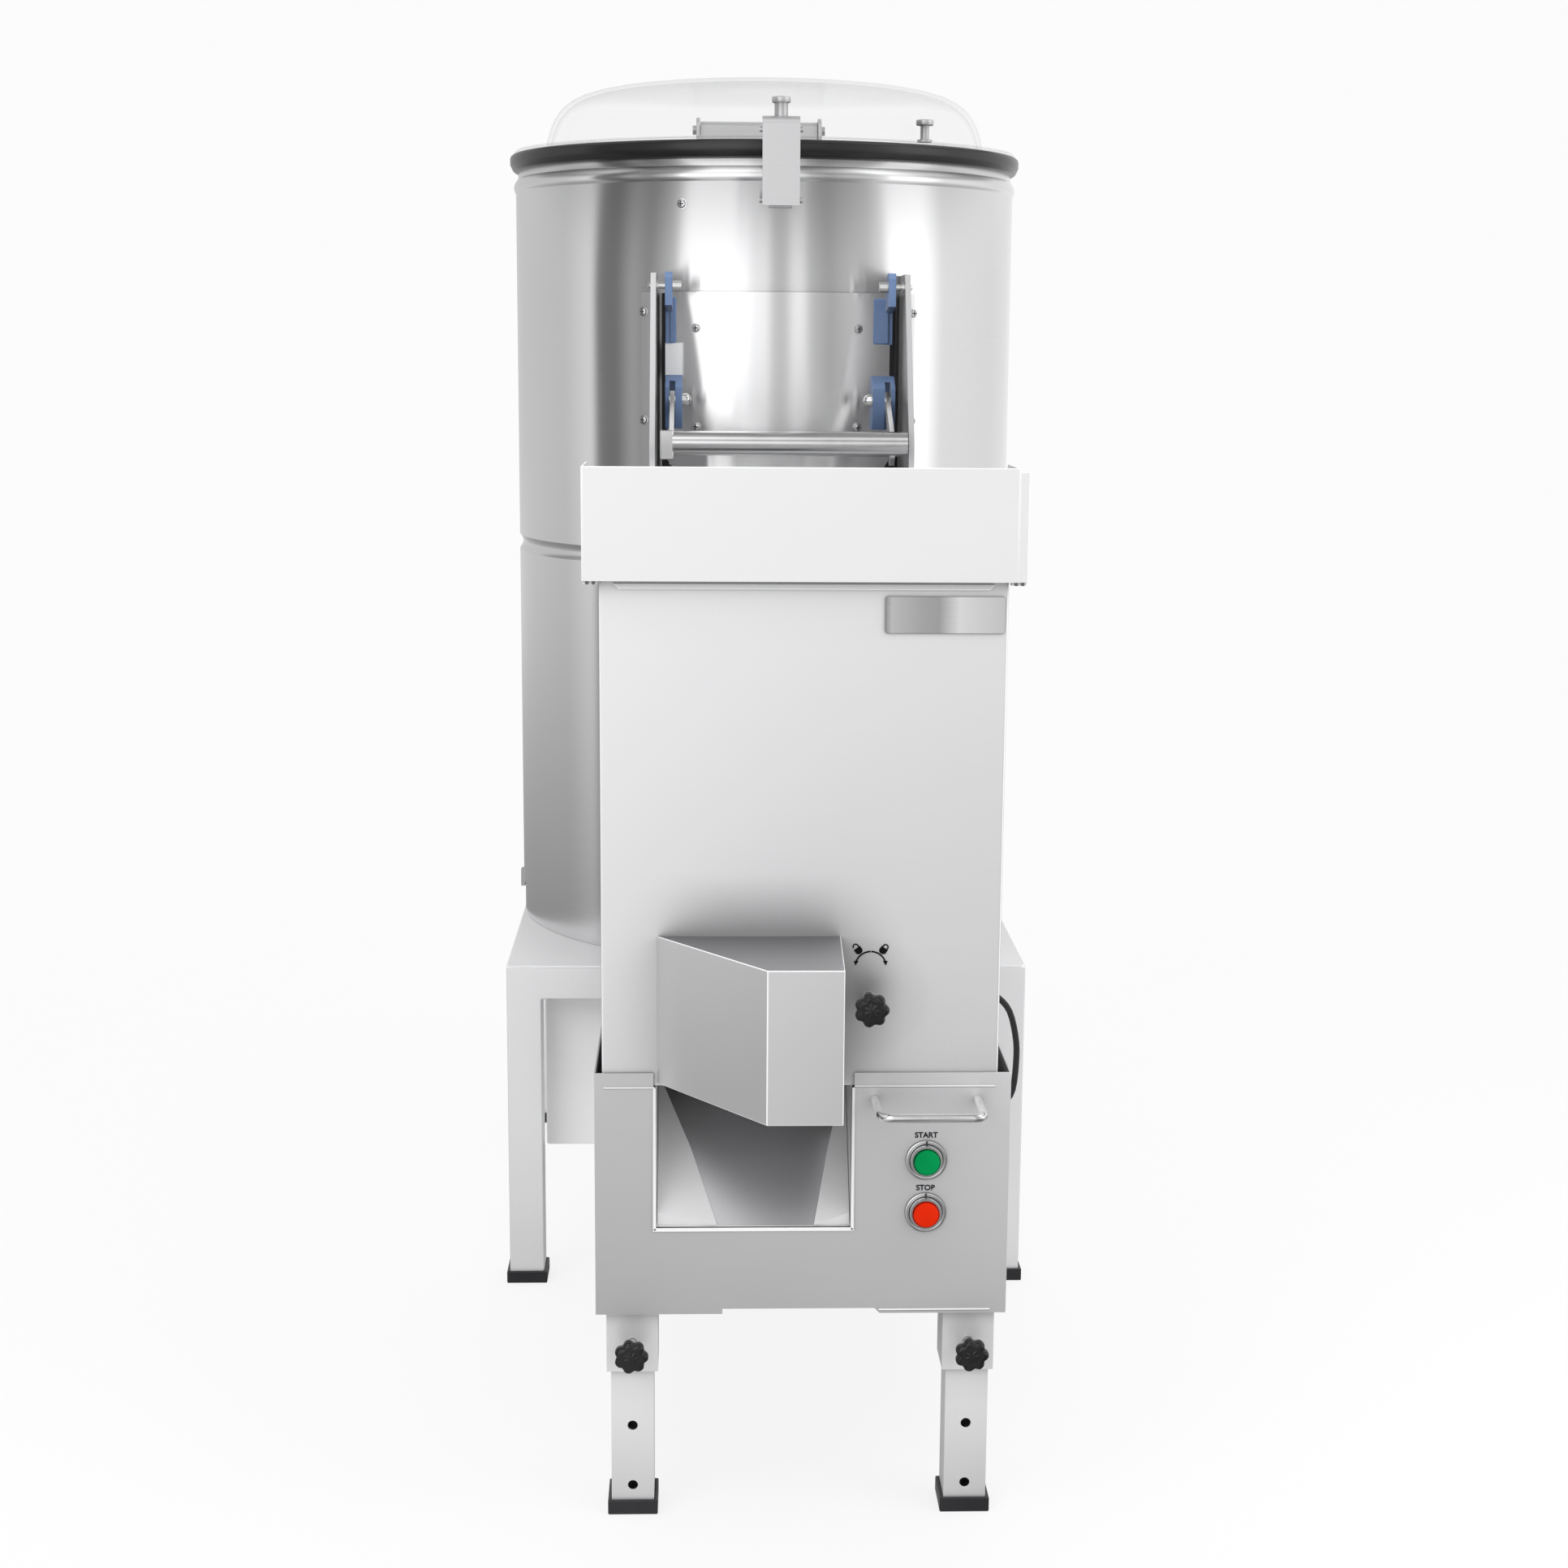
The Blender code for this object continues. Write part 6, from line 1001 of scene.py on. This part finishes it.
plate_left, plate_right, plate_foot, plate_head, plate_round = 0.0872, 0.1928, 0.8391, 0.8716, 0.0022
# The bare plate is painted dark to light across its width, with streaks: a painted sheen, the reflection a
# brushed plate shows.
painted_sheen_stops = ((0.0, 0.3), (0.05, 0.55), (0.3, 0.42), (0.45, 0.38), (0.62, 0.78), (0.8, 0.7), (1.0, 0.62))
painted_sheen_plate = Finish("bare_plate_painted_sheen")
place = painted_sheen_plate.place()
along = painted_sheen_plate.node("SeparateXYZ", {0: place}, out=0)
drawn = painted_sheen_plate.node("Mapping", {"Vector": place, "Scale": (9.0, 650.0, 650.0)})
streak = painted_sheen_plate.noise(drawn, 1.0, 3.0)
share = (along - plate_left) / (plate_right - plate_left) + (streak - 0.5) * 0.03
painted_sheen_tint = painted_sheen_plate.node("ValToRGB", {0: share}, {"stops": painted_sheen_stops})
painted_sheen_plate.surface({"Base Color": painted_sheen_tint, "Roughness": streak * 0.1 + 0.28, "Metallic": 0.6})
plate_outline = [
    (x + plate_round * math.cos(math.radians(turn)), z + plate_round * math.sin(math.radians(turn)))
    for x, z, start in (
        (plate_right - plate_round, plate_foot + plate_round, -90),
        (plate_right - plate_round, plate_head - plate_round, 0),
        (plate_left + plate_round, plate_head - plate_round, 90),
        (plate_left + plate_round, plate_foot + plate_round, 180),
    ) for turn in range(start, start + 91, 18)
]
bare_plate = Stock()
bare_plate.plate(plate_outline, cabinet_front - 0.0018, cabinet_front - 0.0001)
put(bare_plate.piece("bare_plate", edge=0.0004), painted_sheen_plate.material, "brushed")

ink = moulded("printed_ink", (0.004, 0.004, 0.004), 0.7, shine=0.1)
ink_front, ink_back = cabinet_front - 0.00035, cabinet_front - 0.00005
sign_x, sign_z, sign_radius, sign_line = 0.0784, 0.5355, 0.014, 0.0013
lock_reach, lock_rise, lock_lean = 0.0111, 0.015, 35
lock_half, lock_top, lock_waist, lock_belly = 0.0034, 0.0027, -0.0006, 0.0028
shackle_radius, shackle_foot, shackle_spring, shackle_line = 0.0023, 0.0024, 0.0038, 0.0011
sign = Stock()


def ink_stroke(points, width):
    """A printed line along points of x and z, as one flat ribbon."""
    left, right = [], []
    for (x, z), before, after in zip(points, points[:1] + points, points[1:] + points[-1:]):
        along = Vector((after[0] - before[0], after[1] - before[1])).normalized()
        left.append((x - along.y * width / 2, z + along.x * width / 2))
        right.append((x + along.y * width / 2, z - along.x * width / 2))
    for index in range(len(points) - 1):
        sign.plate([left[index], left[index + 1], right[index + 1], right[index]], ink_front, ink_back)


def on_lock(points, toward):
    """Points of a padlock, drawn upright about its own middle, where it leans to one side."""
    lean = math.radians(-lock_lean * toward)
    return [
        (sign_x + toward * lock_reach + x * math.cos(lean) - z * math.sin(lean),
         sign_z + lock_rise + x * math.sin(lean) + z * math.cos(lean))
        for x, z in points
    ]


for toward in (-1, 1):
    sweep = [math.radians(90 - toward * (1.5 + 70 * step / 12)) for step in range(13)]
    ink_stroke([
        (sign_x + sign_radius * math.cos(angle), sign_z + sign_radius * math.sin(angle)) for angle in sweep
    ], sign_line)
    arrow = [(0.0154, 0.0052), (0.0111, 0.0052), (0.01375, 0.001)][::-toward]
    sign.plate([(sign_x + toward * x, sign_z + z) for x, z in arrow], ink_front, ink_back)
    half_turn = [math.pi * step / 10 for step in range(11)]
    body = [(lock_half, lock_top), (-lock_half, lock_top)]
    body += [(-lock_half * math.cos(turn), lock_waist - lock_belly * math.sin(turn)) for turn in half_turn]
    sign.plate(on_lock(body, toward), ink_front, ink_back)
    half_turn = [math.pi * step / 8 for step in range(9)]
    shackle = [
        (shackle_radius * math.cos(turn), shackle_spring + shackle_radius * math.sin(turn))
        for turn in half_turn
    ]
    if toward > 0:
        shackle.append((-shackle_radius, shackle_foot))
    else:
        shackle = [(x - 0.0002, z + 0.0007) for x, z in shackle]
    ink_stroke(on_lock([(shackle_radius, shackle_foot)] + shackle, toward), shackle_line)
put(sign.piece("lock_sign", 10), ink, "black_plastic")


# The outlet hood: one folded sheet, slanting on the left and narrow in front, hinged on the
# cabinet. The star knob beside it turns the cam that locks the blade grid.

hood_steel = brushed_steel("hood_sheet", 2, 0.94, 0.3, 0.68, 0.01, 0.02, spread=0.02, painted_corner_shade=0.3)
# The hood's top and front faces take darker copies of its sheet: painted shade, much darker on the top than
# on the front.
hood_top_painted_shade = brushed_steel("hood_top_sheet_painted_shade", 0, 0.4, 0.32, 0.9, 0.02, 0.1, painted_corner_shade=0.5, blue=0.02)
hood_front_painted_shade = brushed_steel("hood_front_sheet_painted_shade", 2, 0.84, 0.3, 0.72, 0.01, 0.02, spread=0.02)
hood = softened("outlet_hood", hood_steel, "sheet", 0.0016, 20, fold_painted_highlight)
refinished(hood, hood_top_painted_shade, lambda centre, normal: normal.z > 0.6)
refinished(hood, hood_front_painted_shade, lambda centre, normal: normal.y < -0.95)
knob_x, knob_z, knob_shank = 0.0768, 0.5075, 0.0448
cam_left, cam_right, cam_half, cam_gap, cam_sheet = 0.03, 0.008, 0.008, 0.0018, 0.003
cam = Stock()
cam.block(
    (knob_x - cam_left, cabinet_front + cam_gap, knob_z - cam_half),
    (knob_x + cam_right, cabinet_front + cam_gap + cam_sheet, knob_z + cam_half), 1,
)
star_knob("hood_knob", knob_x, knob_z, knob_shank, cam)


# The handle on the housing's front: bright round bar bent in a bow and screwed on from behind the
# sheet, with its left leg leaning out a little.

bow_low, bow_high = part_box("bow_handle")
bow_radius = (bow_high.z - bow_low.z) / 2
bow_z = bow_low.z + bow_radius
bow_reach, bow_corner, bow_steps, bow_lean, bow_wider = 0.056, 0.0105, 8, 0.0025, 0.0045
bow_left, bow_right = bow_low.x + bow_radius, bow_high.x - bow_radius + bow_wider
bow_corners = [Vector((x, y, bow_z)) for x, y in (
    (bow_left, bow_high.y), (bow_left + bow_lean, bow_high.y - bow_reach),
    (bow_right, bow_high.y - bow_reach), (bow_right, bow_high.y),
)]
bow_path = bow_corners[:1]
for before, corner, after in zip(bow_corners, bow_corners[1:], bow_corners[2:]):
    into = corner + (before - corner).normalized() * bow_corner
    out_of = corner + (after - corner).normalized() * bow_corner
    for step in range(bow_steps + 1):
        share = step / bow_steps
        bow_path.append(into * (1 - share) ** 2 + corner * 2 * share * (1 - share) + out_of * share ** 2)
bow_path.append(bow_corners[-1])
bow_line = bpy.data.curves.new("bow_line", "CURVE")
bow_line.dimensions = "3D"
bow_line.bevel_depth = bow_radius
bow_line.bevel_resolution = 6
bow_line.use_fill_caps = True
bow_spline = bow_line.splines.new("POLY")
bow_spline.points.add(len(bow_path) - 1)
for point, place in zip(bow_spline.points, bow_path):
    point.co = (*place, 1)
bow_mesh = bpy.data.meshes.new_from_object(bpy.data.objects.new("bow_line", bow_line))
bow_mesh.shade_smooth()
bow_mesh.set_sharp_from_angle(angle=math.radians(35))
put(placed("bow_handle_bent", bow_mesh), bar_steel, "steel_bar", "bow_handle")


# Two push buttons in the housing's front, green to start and red to stop: moulded caps in polished
# bezels with a locating notch, screwed up from behind, with their words printed above.

green_cap = moulded("green_lens", (0.0, 0.265, 0.072), 0.42, relief=0.12, shine=0.03)
red_cap = moulded("red_lens", (0.66, 0.02, 0.002), 0.42, relief=0.12, shine=0.03)
gasket = moulded("bezel_gasket", (0.03, 0.03, 0.03), 0.5)
bezel_steel = bright_steel("bezel_steel", 0.8, 0.14)
bezel_radius, barrel_half, barrel_front = 0.0188, 0.0135, housing_front + 0.002
notch_half, notch_low = 0.0008, 0.015
notch_front, notch_back = housing_front - 0.003, housing_front - 0.0016
bezel_line = [
    (0.0121, -0.004), (0.0188, 0), (0.019, 0.0008), (0.0186, 0.0019), (0.0178, 0.0023),
    (0.0162, 0.0021), (0.0152, 0.0016), (0.0149, 0.0026), (0.0148, 0.0058), (0.0144, 0.0065),
    (0.0128, 0.0065), (0.0122, 0.006), (0.0121, 0.001), (0.0121, -0.004),
]
outer_gasket = [(0.0188, 0.0), (0.0191, 0.0003), (0.0191, 0.0006), (0.0186, 0.0008)]
inner_gasket = [(0.0149, 0.0018), (0.0153, 0.0018), (0.0153, 0.0023), (0.0149, 0.0024)]
cap_line = [
    (0.005, -0.006), (0.005, 0.0035), (0.0112, 0.0038), (0.0116, 0.0078), (0.0112, 0.0088),
    (0.0098, 0.0093), (0.006, 0.0096), (0, 0.0097),
]
for name, cap_colour, slot, label_rise in (
    ("start", green_cap, "green", 0.0237), ("stop", red_cap, "red", 0.0235),
):
    low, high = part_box(name + "_switch")
    x, z = (low.x + high.x) / 2, high.z - bezel_radius
    bezel = Stock()
    for line, tone in ((bezel_line, 0), (outer_gasket, 1), (inner_gasket, 1)):
        bezel.turned(line, (x, housing_front - 0.0001, z), (0, -1, 0), 72, tone)
    bezel.block(
        (x - notch_half, notch_front, z + notch_low), (x + notch_half, notch_back, high.z - 0.0002), 1,
    )
    bezel.block(
        (x - barrel_half, barrel_front, z - barrel_half), (x + barrel_half, high.y, z + barrel_half), 1,
    )
    put(bezel.piece(name + "_bezel"), (bezel_steel, gasket), "steel_bar", name + "_switch")
    cap = Stock()
    cap.turned(cap_line, (x, housing_front, z), (0, -1, 0), 56)
    put(cap.piece(name + "_cap_domed"), cap_colour, slot, name + "_cap")
    letters = bpy.data.curves.new(name + "_label", "FONT")
    letters.body = name.upper()
    letters.size = 0.0072
    letters.align_x = letters.align_y = "CENTER"
    letters.extrude = 0.0001
    letters.offset = 0.00016
    label = placed(name + "_label", letters)
    label.rotation_euler = (math.pi / 2, 0, 0)
    label.location = (x - 0.0004, housing_front - 0.0002, z + label_rise)
    put(label, ink, "black_plastic")


# The link cable: a black lead held between two glands, from the cabinet down into the housing.
# It is rubber over copper, clamped by the glands' nuts, and hangs clear of the sheet between them.

cable_black = moulded("cable_sheath", (0.014, 0.014, 0.015), 0.42)
softened("link_cable", cable_black, "cord")
softened("cable_gland_upper", cable_black, "black_plastic", 0.0004, 40)
softened("cable_gland_lower", cable_black, "black_plastic", 0.0004, 40)
